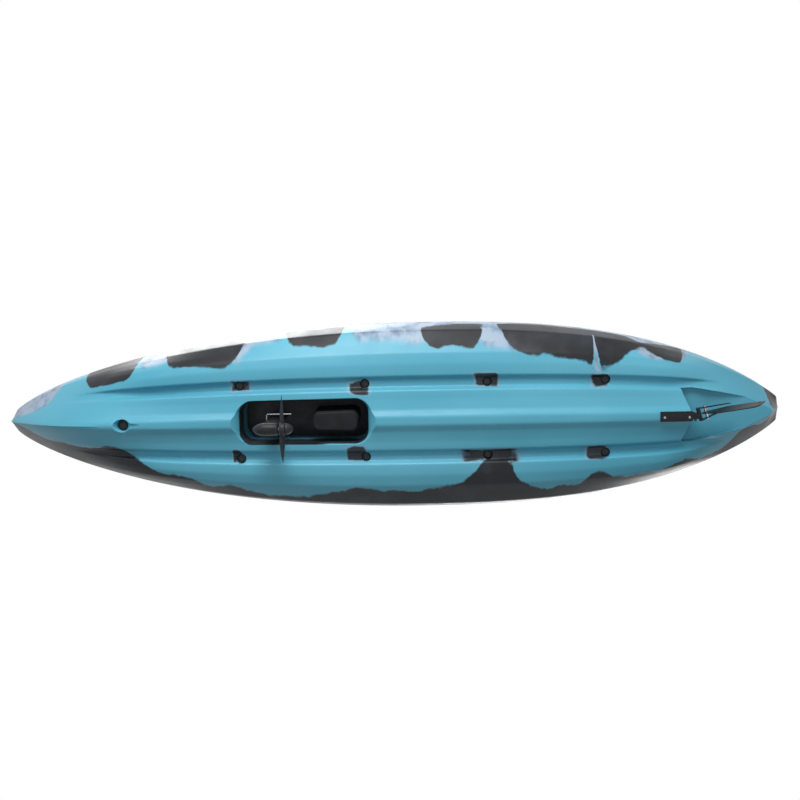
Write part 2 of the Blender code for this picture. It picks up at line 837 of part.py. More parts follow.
def deck_height(x, y):
    """Height of the moulded deck at a place between two of its stations."""
    stations = station_places(LENGTH / 2)
    for fore, aft in zip(stations, stations[1:]):
        if x >= aft:
            break
    share = (fore - x) / (fore - aft)
    return station_deck(fore, abs(y)) * (1 - share) + station_deck(aft, abs(y)) * share


def foot_seat(x, y, half_x, half_y):
    """Height of the flat pad that is moulded under a deck fitting's foot."""
    corners = [(x + i * half_x, y + j * half_y) for i in (-1, 1) for j in (-1, 0, 1)]
    return min(deck_height(*corner) for corner in corners) - PAD_DEPTH


def handle_feet():
    for middle in (BOW_HANDLE_X, STERN_HANDLE_X):
        for side in (-1, 1):
            yield middle + side * HANDLE_SPAN / 2


def pad_cutters(grow):
    pads = [(x, HANDLE_FOOT, HANDLE_FOOT_HALF_WIDTH) for x in handle_feet()]
    pads.append((DRAIN_X, DRAIN_FLANGE, DRAIN_FLANGE))
    for x, half_x, half_y in pads:
        seat = foot_seat(x, 0, half_x, half_y)
        low = (x - half_x - PAD_MARGIN - grow, -half_y - PAD_MARGIN - grow, seat - grow)
        high = (x + half_x + PAD_MARGIN + grow, half_y + PAD_MARGIN + grow, seat + REACH)
        yield block("pad_cutter", low, high, "hull_plastic")


def handle_seat(x):
    return foot_seat(x, 0, HANDLE_FOOT, HANDLE_FOOT_HALF_WIDTH)


def drain_seat():
    return foot_seat(DRAIN_X, 0, DRAIN_FLANGE, DRAIN_FLANGE)


def make_end_handle(name, middle):
    """A moulded grip on two feet, each bolted to its own pad."""
    feet = []
    for side in (-1, 1):
        x = middle + side * HANDLE_SPAN / 2
        feet.append(Vector((x, 0, handle_seat(x) + GAP)))
    root = Vector((0, 0, HANDLE_GRIP - GAP))
    inner = HANDLE_SPAN * 0.22
    top = max(foot.z for foot in feet) + HANDLE_RISE
    points = [feet[0] + root, Vector((middle - inner, 0, top)), Vector((middle + inner, 0, top)), feet[1] + root]
    grip = tube(name, points, HANDLE_GRIP, "black_plastic", sides=8)
    for foot in feet:
        low = (foot.x - HANDLE_FOOT, -HANDLE_FOOT_HALF_WIDTH, foot.z)
        high = (foot.x + HANDLE_FOOT, HANDLE_FOOT_HALF_WIDTH, foot.z + HANDLE_FOOT_HEIGHT)
        fuse(grip, block("foot", low, high, "black_plastic", bevel=0.002, segments=1))
        for side in (-1, 1):
            base = (foot.x, side * HANDLE_BOLT_Y, high[2])
            fuse(grip, screw_head(base, (0, 0, 1), SCREW_HEAD, SCREW_RISE, "steel"))
    return smooth(grip)


def rail_outline():
    """Cross-section of a gear rail: a flat channel with two inward lips."""
    half = RAIL_WIDTH / 2
    slot = RAIL_SLOT / 2
    wall = RAIL_WALL
    height = RAIL_HEIGHT
    return [(-half, 0), (half, 0), (half, height), (slot, height), (slot, height - wall),
            (half - wall, height - wall), (half - wall, wall), (-half + wall, wall),
            (-half + wall, height - wall), (-slot, height - wall), (-slot, height), (-half, height)]


def make_gear_rail(name, side):
    rings = []
    for x in (RAIL_AFT_X, RAIL_AFT_X + RAIL_LENGTH):
        rings.append([(x, side * RAIL_Y + y, DECK_HEIGHT + GAP + z) for y, z in rail_outline()])
    rail = loft(name, rings, "aluminium")
    for share in (0.08, 0.5, 0.92):
        base = (RAIL_AFT_X + RAIL_LENGTH * share, side * RAIL_Y, DECK_HEIGHT + GAP + RAIL_WALL)
        fuse(rail, screw_head(base, (0, 0, 1), SCREW_HEAD, SCREW_RISE, "steel"))
    return rail


def make_rod_holder(name, side):
    wall = ROD_HOLDER_WALL
    bore = ROD_HOLDER_BORE
    deck = DECK_HEIGHT + GAP
    bottom = DECK_HEIGHT - ROD_HOLDER_DEPTH
    profile = ((bottom + wall, bore), (deck + 0.004, bore), (deck + 0.004, bore + 0.016),
               (deck, bore + 0.018), (deck, bore + wall), (bottom, bore + wall))
    centre = rod_holder_centre(side)
    rings = [sheared_circle(centre, radius, z, ROD_HOLDER_LEAN, ROUND) for z, radius in profile]
    return smooth(loft(name, rings, "black_plastic"))


def make_side_handle(name, side):
    """A bail that lies on the deck, inboard of its bracket."""
    y = side * BAIL_PIVOT_Y
    inboard = y - side * BAIL_REACH
    z = DECK_HEIGHT + BAIL_PIVOT_RISE
    half = BAIL_LENGTH / 2
    x = BAIL_X
    bend = 0.010
    points = [(x - half - 0.012, y, z), (x - half, y, z), (x - half, inboard + side * bend, z),
              (x - half + bend, inboard, z), (x + half - bend, inboard, z),
              (x + half, inboard + side * bend, z), (x + half, y, z), (x + half + 0.012, y, z)]
    bail = tube(name, points, BAIL_RADIUS, "steel", sides=8)
    grip = rod("grip", (x - half + 0.02, inboard, z), (x + half - 0.02, inboard, z),
               BAIL_GRIP, "rubber", 10)
    return smooth(fuse(bail, grip))


def make_side_handle_bracket(name, side):
    """Two ears on one strip that is screwed to the deck."""
    z = DECK_HEIGHT + BAIL_PIVOT_RISE
    y = side * BAIL_PIVOT_Y
    reach = BAIL_LENGTH / 2 + BAIL_RADIUS + 0.010
    low = DECK_HEIGHT + GAP
    bracket = block(name, (BAIL_X - reach, y - BRACKET_WIDTH / 2, low),
                    (BAIL_X + reach, y + BRACKET_WIDTH / 2, low + 0.003), "black_plastic")
    for end in (-1, 1):
        x = BAIL_X + end * reach
        ear = block("ear", (x - 0.007, y - BRACKET_WIDTH / 2, low), (x + 0.007, y + BRACKET_WIDTH / 2, z + 0.009),
                    "black_plastic")
        fuse(bracket, ear)
        hole = rod("hole", (x - 0.02, y, z), (x + 0.02, y, z), BAIL_RADIUS + RUNNING_GAP, "black_plastic", 12)
        cut(bracket, hole)
    return bracket


def bungee_eye_places(side):
    """The three eyes of one side. The deck's height is taken under the whole width of the strip."""
    for step, share in enumerate((1.0, 0.80, 0.62)):
        x = TANK_FORE_X + 0.002 - step * TANK_EYE_STEP
        yield x, side * (share * TANK_HALF + 0.038)


def strip_height(x, y):
    return max(deck_height(x, y + side * EYE_HALF) for side in (-1, 1)) + GAP


def make_bungee_strip(name, side):
    """A strip that follows the deck beside the rear well and carries three raised eyes."""
    eyes = list(bungee_eye_places(side))
    ends = [Vector(eyes[0]), Vector(eyes[1]), Vector(eyes[2])]
    places = [eyes[0][0] + EYE_FOOT, eyes[1][0], eyes[2][0] - EYE_FOOT]
    places += [x for x in station_places(LENGTH / 2) if places[2] < x < places[0]]
    rings = []
    for x in sorted(places):
        fore, aft = (ends[0], ends[1]) if x > eyes[1][0] else (ends[1], ends[2])
        y = fore.y + (aft.y - fore.y) * (fore.x - x) / (fore.x - aft.x)
        low = strip_height(x, y)
        top = low + EYE_PLATE
        rings.append([(x, y - EYE_HALF, low), (x, y + EYE_HALF, low), (x, y + EYE_HALF, top), (x, y - EYE_HALF, top)])
    strip = loft(name, rings, "black_plastic")
    for x, y in eyes:
        base = strip_height(x, y)
        wide = EYE_HALF - EYE_WIRE
        points = [(x, y - wide, base + 0.001), (x, y - wide * 0.8, base + EYE_RISE * 0.8),
                  (x, y, base + EYE_RISE), (x, y + wide * 0.8, base + EYE_RISE * 0.8), (x, y + wide, base + 0.001)]
        fuse(strip, tube("eye", points, EYE_WIRE, "black_plastic", sides=5))
    return smooth(strip)


def curve_through(points, steps):
    """A smooth curve through hand-set points."""
    path = [Vector(point) for point in points]
    result = []
    for i in range(len(path) - 1):
        a = path[max(i - 1, 0)]
        b = path[i]
        c = path[i + 1]
        d = path[min(i + 2, len(path) - 1)]
        for step in range(steps):
            t = step / steps
            result.append(0.5 * (2 * b + (c - a) * t + (2 * a - 5 * b + 4 * c - d) * t ** 2
                                 + (3 * b - 3 * c + d - a) * t ** 3))
    result.append(path[-1])
    return result


def make_bungee_cord():
    """One elastic cord laced through the six eyes with a knot at each end. It crosses itself twice."""
    eyes = [eye for pair in zip(bungee_eye_places(1), bungee_eye_places(-1)) for eye in pair]
    lift = EYE_PLATE + CORD_RADIUS + CORD_ROOM
    seats = [Vector((x, y, strip_height(x, y) + lift)) for x, y in eyes]
    ahead = Vector((CORD_END, 0, 0))
    route = [seats[0] + ahead, seats[0], seats[0] - ahead]
    for order, (index, onward) in enumerate(((3, -1), (4, -1), (5, 1), (2, 1), (1, 1))):
        start = route[-1]
        seat = seats[index]
        end = seat - ahead * onward
        over = CORD_CROSS if order > 2 else 0.0
        for share, rise in ((0.12, CORD_CLEAR), (0.5, CORD_CLEAR + over), (0.88, CORD_CLEAR)):
            middle = start.lerp(end, share)
            middle.z += rise
            route.append(middle)
        route += [end, seat, seat + ahead * onward]
    cord = tube("bungee_cord", route, CORD_RADIUS, "cord", sides=6)
    for seat in seats[:2]:
        knot = CORD_RADIUS * 2
        profile = ((-knot, knot * 0.4), (-knot * 0.4, knot), (knot * 0.4, knot), (knot, knot * 0.4))
        fuse(cord, turned("knot", seat + ahead, (1, 0, 0), profile, "cord", 8))
    return smooth(cord, 60)


def make_drain_plug():
    seat = drain_seat() + GAP
    profile = ((-0.022, DRAIN_RADIUS * 0.8), (0, DRAIN_RADIUS), (0, DRAIN_FLANGE), (0.003, DRAIN_FLANGE),
               (0.005, DRAIN_RADIUS), (0.013, DRAIN_RADIUS * 0.9))
    return smooth(turned("drain_plug", (DRAIN_X, 0, seat), (0, 0, 1), profile, "black_plastic", ROUND))


def make_round_hatch():
    floor = COCKPIT_FLOOR + GAP
    radius = ROUND_HATCH_RADIUS
    start = (ROUND_HATCH_X, 0, floor)
    profile = ((-0.012, radius), (-0.012, radius + 0.005), (0, radius + 0.005), (0, radius + 0.018),
               (0.004, radius + 0.017), (0.007, radius + 0.004), (0.007, radius))
    hatch_ring = turned("round_hatch_ring", start, (0, 0, 1), profile, "black_plastic", 20, bore=True)
    lid_radius = radius - 2 * RUNNING_GAP
    rim = 0.007 + GAP
    lid_profile = ((-0.010, lid_radius - 0.002), (rim, lid_radius), (rim, radius + 0.003), (0.010, radius + 0.002))
    lid = turned("round_hatch_lid", start, (0, 0, 1), lid_profile, "black_plastic", 20)
    bar = block("bar", (ROUND_HATCH_X - 0.045, -0.007, floor + 0.006),
                (ROUND_HATCH_X + 0.045, 0.007, floor + 0.022), "black_plastic", bevel=0.003, segments=1)
    fuse(lid, bar)
    smooth(hatch_ring)
    return smooth(lid)


def hatch_pivot():
    x = BOW_TUB_FORE_X + HATCH_LIP + 0.012
    return Vector((x, 0, HATCH_SEAT + HATCH_HINGE_RADIUS + 2 * RUNNING_GAP))


def make_bow_hatch():
    gasket_top = HATCH_SEAT + GAP + 0.004
    corners = bow_tub_corners()
    profile = ((HATCH_SEAT + GAP, 0.010), (HATCH_SEAT + GAP, 0.018), (gasket_top, 0.018), (gasket_top, 0.010))
    rings = [[(x, y, z) for x, y in rounded_outline(corners, 0.045, grow, 4)] for z, grow in profile]
    gasket = loft("bow_hatch_gasket", rings, "rubber", closed=True)
    low = gasket_top + GAP
    top = low + HATCH_THICKNESS
    lip = HATCH_LIP - 0.003
    levels = ((low, lip), (low + 0.014, lip), (top - 0.004, lip - 0.010), (top, lip - 0.022))
    lid = plan_loft("bow_hatch_lid", corners, 0.045, levels, "hull_plastic", steps=3)
    hollow_levels = ((low - 0.01, 0.004), (low + 0.010, 0.002), (top - 0.005, -0.008))
    cut(lid, plan_loft("hollow", corners, 0.045, hollow_levels, "hull_plastic", steps=2))
    pivot = hatch_pivot()
    for side in (1, -1):
        inner = pivot + Vector((0, side * 0.034, 0))
        outer = pivot + Vector((0, side * 0.048, 0))
        lug = rod("lug", inner, outer, HATCH_HINGE_RADIUS, "hull_plastic", 12)
        y_pair = sorted((inner.y, outer.y))
        arm = block("arm", (pivot.x - 0.022, y_pair[0] + 0.0005, low + 0.002),
                    (pivot.x - 0.001, y_pair[1] - 0.0005, pivot.z + HATCH_HINGE_RADIUS - 0.002), "hull_plastic")
        fuse(lid, lug)
        fuse(lid, arm)
    bore = Vector((0, 0.07, 0))
    cut(lid, rod("bore", pivot - bore, pivot + bore, 0.0025 + RUNNING_GAP, "hull_plastic", 10))
    lift = BOW_TUB_AFT_X - lip + 0.030
    tab = block("tab", (lift - 0.014, -0.045, top - 0.012), (lift + 0.002, 0.045, top + 0.010),
                "hull_plastic", bevel=0.004, segments=1)
    fuse(lid, tab)
    base = block("bow_hatch_hinge", (pivot.x - 0.008, -0.032, HATCH_SEAT + GAP),
                 (pivot.x + 0.010, 0.032, pivot.z + HATCH_HINGE_RADIUS), "black_plastic", bevel=0.002, segments=1)
    half = Vector((0, 0.049, 0))
    fuse(base, rod("pin", pivot - half, pivot + half, 0.0025, "steel", 10))
    return smooth(lid)


# Pedal drive

def crank_centre():
    return Vector((DRIVE_X, 0, CRANK_HEIGHT))


def prop_centre():
    return Vector((DRIVE_X, 0, -PROP_DEPTH))


def upper_gear_radius():
    return UPPER_MODULE * CRANK_GEAR_TEETH / 2


def upper_pinion_radius():
    return UPPER_MODULE * UPPER_PINION_TEETH / 2


def lower_gear_radius():
    return LOWER_MODULE * LOWER_GEAR_TEETH / 2


def prop_pinion_radius():
    return LOWER_MODULE * PROP_PINION_TEETH / 2


def base_low():
    return CONSOLE_TOP + GAP


def base_top():
    return base_low() + BASE_THICKNESS


def base_corners():
    aft = WELL_AFT_X - CONSOLE_MARGIN + BASE_MARGIN_AFT
    fore = WELL_AFT_X + WELL_LENGTH + CONSOLE_MARGIN - 0.012
    return rectangle(aft, fore, CONSOLE_HALF - 0.010, CONSOLE_HALF - 0.010)


def make_drive_base():
    low = base_low()
    levels = ((low, 0.0), (low + BASE_THICKNESS - 0.003, 0.0), (low + BASE_THICKNESS, -0.003))
    base = plan_loft("drive_base", base_corners(), 0.040, levels, "black_plastic", steps=4)
    hole = rod("hole", (DRIVE_X, 0, low - 0.01), (DRIVE_X, 0, low + 0.03), LEG_BORE, "black_plastic", ROUND)
    return smooth(cut(base, hole))


def case_outline(inset):
    """Side view of the gearcase, a disc round the crank on a neck that flares to the base."""
    radius = upper_gear_radius() + CASE_MARGIN + CASE_WALL - inset
    bottom = base_top() + GAP + inset
    neck = CASE_NECK / 2 - inset
    foot = neck + 0.012
    outline = [(DRIVE_X + foot, bottom), (DRIVE_X + neck, bottom + 0.045 - inset)]
    sweep = math.pi * 1.5
    for i in range(17):
        angle = -math.pi / 4 + sweep * i / 16
        outline.append((DRIVE_X + radius * math.cos(angle), CRANK_HEIGHT + radius * math.sin(angle)))
    outline += [(DRIVE_X - neck, bottom + 0.045 - inset), (DRIVE_X - foot, bottom)]
    return outline


def bearing_radius(shaft):
    return shaft + GAP + BEARING_WALL


def make_case(name, side):
    seam = side * GAP / 2
    face = side * CASE_HALF
    shell = side_loft(name, case_outline(0.0), seam, face, "black_plastic")
    cut(shell, side_loft("hollow", case_outline(CASE_WALL), -side * 0.01, face - side * CASE_WALL, "black_plastic"))
    centre = crank_centre()
    reach = Vector((0, side * 0.06, 0))
    cut(shell, rod("hole", centre + reach * 0.3, centre + reach, bearing_radius(AXLE_RADIUS) + GAP,
                   "black_plastic", ROUND))
    bottom = base_top()
    cut(shell, rod("hole", (DRIVE_X, 0, bottom - 0.01), (DRIVE_X, 0, bottom + 0.02), LEG_BORE,
                   "black_plastic", ROUND))
    if side < 0:
        for x, z in case_screws():
            fuse(shell, screw_head((x, -CASE_HALF, z), (0, -1, 0), SCREW_HEAD, SCREW_RISE, "steel"))
    return shell


def case_screws():
    radius = upper_gear_radius() + CASE_MARGIN * 0.3
    for degrees in (20, 90, 160):
        angle = math.radians(degrees)
        x = DRIVE_X + radius * math.cos(angle)
        z = CRANK_HEIGHT + radius * math.sin(angle)
        yield x, z
    for end in (-1, 1):
        yield DRIVE_X + end * CASE_NECK * 0.3, base_top() + 0.03


def make_crank_axle():
    half = Vector((0, CRANK_AXLE_HALF, 0))
    centre = crank_centre()
    return smooth(rod("crank_axle", centre - half, centre + half, AXLE_RADIUS, "steel", 16))


def make_crank_gear():
    radius = upper_gear_radius()
    face = upper_pinion_radius() + GAP
    start = crank_centre() + Vector((0, face, 0))
    bore = AXLE_RADIUS + GAP
    profile = ((0, bore), (0, radius), (0.004, radius), (0.007, radius - 0.006), (0.007, 0.018),
               (0.013, 0.016), (0.013, bore))
    return smooth(turned("crank_gear", start, (0, 1, 0), profile, "steel", 16, bore=True))


def make_crank_arm(name, side):
    """A crank arm with its pedal spindle. The port arm points forward and the starboard arm aft."""
    centre = crank_centre()
    reach = side * CRANK_LENGTH
    near = side * (CRANK_AXLE_HALF - ARM_THICKNESS)
    far = side * CRANK_AXLE_HALF
    big = AXLE_RADIUS + 0.009
    small = SPINDLE_RADIUS + 0.007
    outline = []
    for i in range(9):
        angle = math.pi / 2 + math.pi * i / 8
        outline.append((centre.x + side * big * math.cos(angle), centre.z + side * big * math.sin(angle)))
    for i in range(9):
        angle = -math.pi / 2 + math.pi * i / 8
        outline.append((centre.x + reach + side * small * math.cos(angle),
                        centre.z + side * small * math.sin(angle)))
    arm = side_loft(name, outline, near, far, "black_plastic")
    cut(arm, rod("hole", centre + Vector((0, near * 0.8, 0)), centre + Vector((0, far * 1.3, 0)),
                 AXLE_RADIUS + GAP, "black_plastic", 16))
    tip = centre + Vector((reach, 0, 0))
    fuse(arm, rod("spindle", tip + Vector((0, (near + far) / 2, 0)),
                  tip + Vector((0, side * pedal_far(), 0)), SPINDLE_RADIUS, "steel", 12))
    return smooth(arm)


def pedal_centre(side):
    return crank_centre() + Vector((side * CRANK_LENGTH, 0, 0))


def pedal_near():
    return CRANK_AXLE_HALF + 0.004


def pedal_far():
    return pedal_near() + PEDAL_WIDTH - 0.004


def make_pedal(name, side):
    tip = pedal_centre(side)
    y_pair = sorted((side * pedal_near(), side * (pedal_near() + PEDAL_WIDTH)))
    half = PEDAL_LENGTH / 2
    thick = PEDAL_THICKNESS / 2
    pedal = block(name, (tip.x - half, y_pair[0], tip.z - thick), (tip.x + half, y_pair[1], tip.z + thick),
                  "black_plastic", bevel=0.006, segments=2)
    for end in (-1, 1):
        middle = tip.x + end * half * 0.56
        window = block("window", (middle - half * 0.20, y_pair[0] + 0.014, tip.z - 0.05),
                       (middle + half * 0.20, y_pair[1] - 0.014, tip.z + 0.05), "black_plastic")
        cut(pedal, window)
    start = tip + Vector((0, side * (pedal_near() - 0.01), 0))
    end = tip + Vector((0, side * (pedal_far() + 2 * GAP), 0))
    cut(pedal, rod("bore", start, end, SPINDLE_RADIUS + GAP, "black_plastic", 12))
    return smooth(pedal)


def leg_outline(x, y_scale):
    outline = []
    for i in range(20):
        angle = 2 * math.pi * i / 20
        ahead = math.cos(angle)
        length = LEG_CHORD * (0.42 if ahead > 0 else 0.58)
        outline.append((x + length * ahead, y_scale * LEG_THICKNESS / 2 * math.sin(angle)))
    return outline


def pod_profile(grow):
    length = POD_LENGTH
    radius = POD_RADIUS
    shares = ((0.0, 0.80), (0.06, 0.95), (0.30, 1.0), (0.58, 1.0), (0.80, 0.80), (0.94, 0.42), (1.0, 0.12))
    return [(length * along, radius * wide + grow) for along, wide in shares]


def pod_start():
    return Vector((DRIVE_X - POD_AFT, 0, -PROP_DEPTH))


def make_leg():
    low = -PROP_DEPTH
    top = base_low() - GAP
    rings = [[(x, y, z) for x, y in leg_outline(DRIVE_X, 1.0)] for z in (low, top)]
    leg = loft("drive_leg", rings, "black_plastic")
    cut(leg, turned("pod_seat", pod_start(), (1, 0, 0), pod_profile(GAP), "black_plastic", 16))
    cut(leg, rod("bore", (DRIVE_X, 0, low - 0.02), (DRIVE_X, 0, top + 0.02), LEG_BORE, "black_plastic", ROUND))
    return smooth(leg)


def make_pod():
    pod = turned("drive_pod", pod_start(), (1, 0, 0), pod_profile(0.0), "black_plastic", 16)
    centre = prop_centre()
    room = lower_gear_radius() * 1.5
    cut(pod, rod("chamber", centre - Vector((0.022, 0, 0)), centre + Vector((0.019, 0, 0)), room,
                 "black_plastic", 16))
    cut(pod, rod("bore", centre - Vector((0.09, 0, 0)), centre, bearing_radius(PROP_SHAFT_RADIUS) + GAP,
                 "black_plastic", ROUND))
    cut(pod, rod("bore", centre, centre + Vector((0, 0, 0.05)), LEG_BORE, "black_plastic", ROUND))
    return smooth(pod)


def make_drive_shaft():
    """The upright shaft with the pinion cut on its top, and the gear keyed to its foot."""
    gear_low = -PROP_DEPTH + prop_pinion_radius() + GAP
    gear_height = 0.0045
    pinion_low = CRANK_HEIGHT - upper_gear_radius() + 0.001
    pinion = upper_pinion_radius()
    gear = lower_gear_radius()
    rise = pinion_low - gear_low
    profile = ((0, gear), (0.003, gear), (gear_height, 0.010), (gear_height, SHAFT_RADIUS), (rise, SHAFT_RADIUS),
               (rise, pinion), (rise + 0.008, pinion), (rise + 0.011, SHAFT_RADIUS))
    return smooth(turned("drive_shaft", (DRIVE_X, 0, gear_low), (0, 0, 1), profile, "steel", 16))


def make_bearings():
    """Bearing rings of the crank axle and the propeller shaft, and the upright shaft's long bushing."""
    for name, side in (("crank_bearing_port", 1), ("crank_bearing_starboard", -1)):
        start = crank_centre() + Vector((0, side * (CASE_HALF - 0.008), 0))
        end = start + Vector((0, side * BEARING_LENGTH, 0))
        smooth(ring_part(name, start, end, bearing_radius(AXLE_RADIUS), AXLE_RADIUS + GAP, "steel", ROUND))
    low = -PROP_DEPTH + 0.045
    top = base_low() - 0.011
    smooth(ring_part("shaft_bushing", (DRIVE_X, 0, low), (DRIVE_X, 0, top), LEG_BORE - GAP, SHAFT_RADIUS + GAP,
                     "steel", ROUND))
    start = pod_start() + Vector((0.010, 0, 0))
    end = start + Vector((BEARING_LENGTH, 0, 0))
    smooth(ring_part("prop_bearing", start, end, bearing_radius(PROP_SHAFT_RADIUS), PROP_SHAFT_RADIUS + GAP,
                     "steel", ROUND))


def make_prop_train():
    """Propeller shaft with its pinion, the seal, the two-bladed propeller and the cone nut."""
    centre = prop_centre()
    aft = pod_start().x
    pinion_x = DRIVE_X - lower_gear_radius()
    hub_x = aft - HUB_GAP - HUB_LENGTH
    start_x = hub_x - NUT_GRIP
    pinion = prop_pinion_radius()
    reach = pinion_x - start_x
    profile = ((0, PROP_SHAFT_RADIUS), (reach, PROP_SHAFT_RADIUS), (reach, pinion), (reach + 0.005, pinion),
               (reach + 0.007, PROP_SHAFT_RADIUS * 0.9))
    shaft = turned("prop_shaft", (start_x, 0, centre.z), (1, 0, 0), profile, "steel", 14)
    seal = ring_part("shaft_seal", (aft + 0.001, 0, centre.z), (aft + 0.007, 0, centre.z),
                     bearing_radius(PROP_SHAFT_RADIUS), PROP_SHAFT_RADIUS + GAP, "rubber", ROUND)
    hub_profile = ((0, HUB_RADIUS * 0.93), (HUB_LENGTH * 0.5, HUB_RADIUS), (HUB_LENGTH, HUB_RADIUS * 0.95))
    hub = turned("propeller", (hub_x, 0, centre.z), (1, 0, 0), hub_profile, "black_plastic", 16)
    for side in (1, -1):
        fuse(hub, make_blade(hub_x + HUB_LENGTH * 0.52, centre.z, side))
    cut(hub, rod("bore", (hub_x - 0.01, 0, centre.z), (aft, 0, centre.z), PROP_SHAFT_RADIUS + GAP,
                 "black_plastic", 14))
    nut_profile = ((0, 0.004), (NUT_LENGTH * 0.35, HUB_RADIUS * 0.55), (NUT_LENGTH * 0.75, HUB_RADIUS * 0.85),
                   (NUT_LENGTH, HUB_RADIUS * 0.93))
    nut = turned("prop_nut", (hub_x - GAP - NUT_LENGTH, 0, centre.z), (1, 0, 0), nut_profile,
                 "black_plastic", 20)
    cut(nut, rod("bore", (start_x - GAP, 0, centre.z), (hub_x + 0.01, 0, centre.z),
                 PROP_SHAFT_RADIUS + GAP, "black_plastic", 14))
    smooth(seal)
    return smooth(shaft), smooth(hub), smooth(nut)


def make_blade(x, z, side):
    """One propeller blade, twisted from root to tip, lying across the boat."""
    rings = []
    steps = 6
    root = HUB_RADIUS * 0.6
    for i in range(steps + 1):
        share = i / steps
        reach = root + (PROP_RADIUS - root) * share
        chord = BLADE_ROOT + BLADE_SWELL * math.sin(math.pi * share ** 0.8) - BLADE_TIP_CUT * share ** 3
        thick = 0.0052 - 0.0034 * share
        pitch = math.radians(46 - 28 * share)
        along = Vector((math.sin(pitch), 0, side * math.cos(pitch)))
        across = Vector((math.cos(pitch), 0, -side * math.sin(pitch)))
        ring = []
        for k in range(8):
            angle = 2 * math.pi * k / 8
            point = along * chord / 2 * math.cos(angle) + across * thick / 2 * math.sin(angle)
            ring.append(Vector((x, side * reach, z)) + point)
        rings.append(ring)
    return loft("blade", rings, "black_plastic")


def make_fairing():
    top = base_low() - GAP
    corners = rectangle(WELL_AFT_X + 0.040, WELL_AFT_X + 0.040 + FAIRING_LENGTH, FAIRING_HALF, FAIRING_HALF * 0.9)
    low = FAIRING_BOTTOM
    levels = ((low + 0.004, -0.006), (low + 0.014, -0.003), (top, -0.003), (top, 0.0), (low + 0.012, 0.0),
              (low, -0.010))
    return smooth(plan_loft("well_fairing", corners, 0.034, levels, "grey_plastic", steps=4))


def make_stay_rod():
    x = DRIVE_X + STAY_AHEAD
    front = LEG_CHORD * 0.42
    leg_half = LEG_THICKNESS / 2 * math.sqrt(1 - ((STAY_AHEAD - STAY_RADIUS) / front) ** 2)
    points = [(x, leg_half + 2 * GAP, STAY_HEIGHT), (x, STAY_Y - 0.004, STAY_HEIGHT),
              (x - 0.004, STAY_Y, STAY_HEIGHT), (x - STAY_LENGTH, STAY_Y, STAY_HEIGHT)]
    return smooth(tube("stay_rod", points, STAY_RADIUS, "steel", sides=8))


def latch_pivot():
    aft = WELL_AFT_X - CONSOLE_MARGIN
    return Vector((aft + 0.016, 0, CONSOLE_TOP + GAP))


def make_drive_latch():
    """A swing clamp behind the base plate. Its arm lies over the plate's aft edge."""
    pivot = latch_pivot()
    top = base_top() + GAP
    boss = rod("drive_latch", pivot, (pivot.x, 0, top + 0.007), 0.0085, "black_plastic", 14)
    arm = block("arm", (pivot.x, -0.008, top), (pivot.x + 0.055, 0.008, top + 0.007), "black_plastic",
                bevel=0.002, segments=1)
    fuse(boss, arm)
    fuse(boss, rod("stud", pivot - Vector((0, 0, LATCH_STUD)), pivot + Vector((0, 0, 0.004)),
                   LATCH_STUD_RADIUS, "steel", 10))
    return smooth(boss)


# Rudder, modelled amidships and then turned to the angle that it is left at

def rudder_axis():
    return Vector((TRANSOM_X - RUDDER_PIN_AFT, 0, 0))


def turn_rudder(made):
    axis = rudder_axis()
    turn = Matrix.Translation(axis) @ Matrix.Rotation(-RUDDER_DEFLECTION, 4, "Z") @ Matrix.Translation(-axis)
    made.data.transform(turn)
    return made


def hub_low():
    return -GAP + RUNNING_GAP


def hub_top():
    return hub_low() + FORK_HEIGHT


def make_rudder_bracket():
    pin = rudder_axis()
    low = -GAP - BRACKET_PLATE
    fore = TRANSOM_X + BRACKET_LENGTH
    plate = block("rudder_bracket", (TRANSOM_X - 0.004, -BRACKET_HALF, low), (fore, BRACKET_HALF, -GAP),
                  "black_plastic")
    lug_low = hub_top() + RUNNING_GAP
    web_face = TRANSOM_X - GAP
    fuse(plate, block("web", (web_face - 0.007, -0.020, low), (web_face, 0.020, lug_low + BRACKET_PLATE),
                      "black_plastic"))
    for bottom in (low, lug_low):
        fuse(plate, rod("lug", (pin.x, 0, bottom), (pin.x, 0, bottom + BRACKET_PLATE), LUG_RADIUS,
                        "black_plastic", 16))
        fuse(plate, block("arm", (pin.x, -LUG_RADIUS, bottom), (web_face - 0.002, LUG_RADIUS, bottom + BRACKET_PLATE),
                          "black_plastic"))
    top = tiller_low() + TILLER_PLATE + 0.004
    fuse(plate, rod("pin", (pin.x, 0, low - 0.003), (pin.x, 0, top), RUDDER_PIN_RADIUS, "steel", 12))
    for share in (0.06, 0.86):
        base = (TRANSOM_X + BRACKET_LENGTH * share, -0.004, low)
        fuse(plate, screw_head(base, (0, 0, -1), SCREW_HEAD * 1.15, SCREW_RISE, "steel"))
    return smooth(plate)


def tiller_low():
    return hub_top() + RUNNING_GAP + BRACKET_PLATE + RUNNING_GAP


def make_tiller():
    axis = rudder_axis()
    low = tiller_low()
    top = low + TILLER_PLATE
    boss = rod("tiller_arm", (axis.x, 0, low), (axis.x, 0, top), 0.009, "aluminium", 16)
    fuse(boss, block("arm", (axis.x - 0.005, -TILLER_LENGTH, low), (axis.x + 0.005, 0, top), "aluminium"))
    cut(boss, rod("bore", (axis.x, 0, low - 0.01), (axis.x, 0, top + 0.01), RUDDER_PIN_RADIUS + GAP,
                  "aluminium", 12))
    cut(boss, rod("hole", (axis.x, -TILLER_LENGTH + 0.005, low - 0.01),
                  (axis.x, -TILLER_LENGTH + 0.005, top + 0.01), 0.002, "aluminium", 8))
    return turn_rudder(smooth(boss))


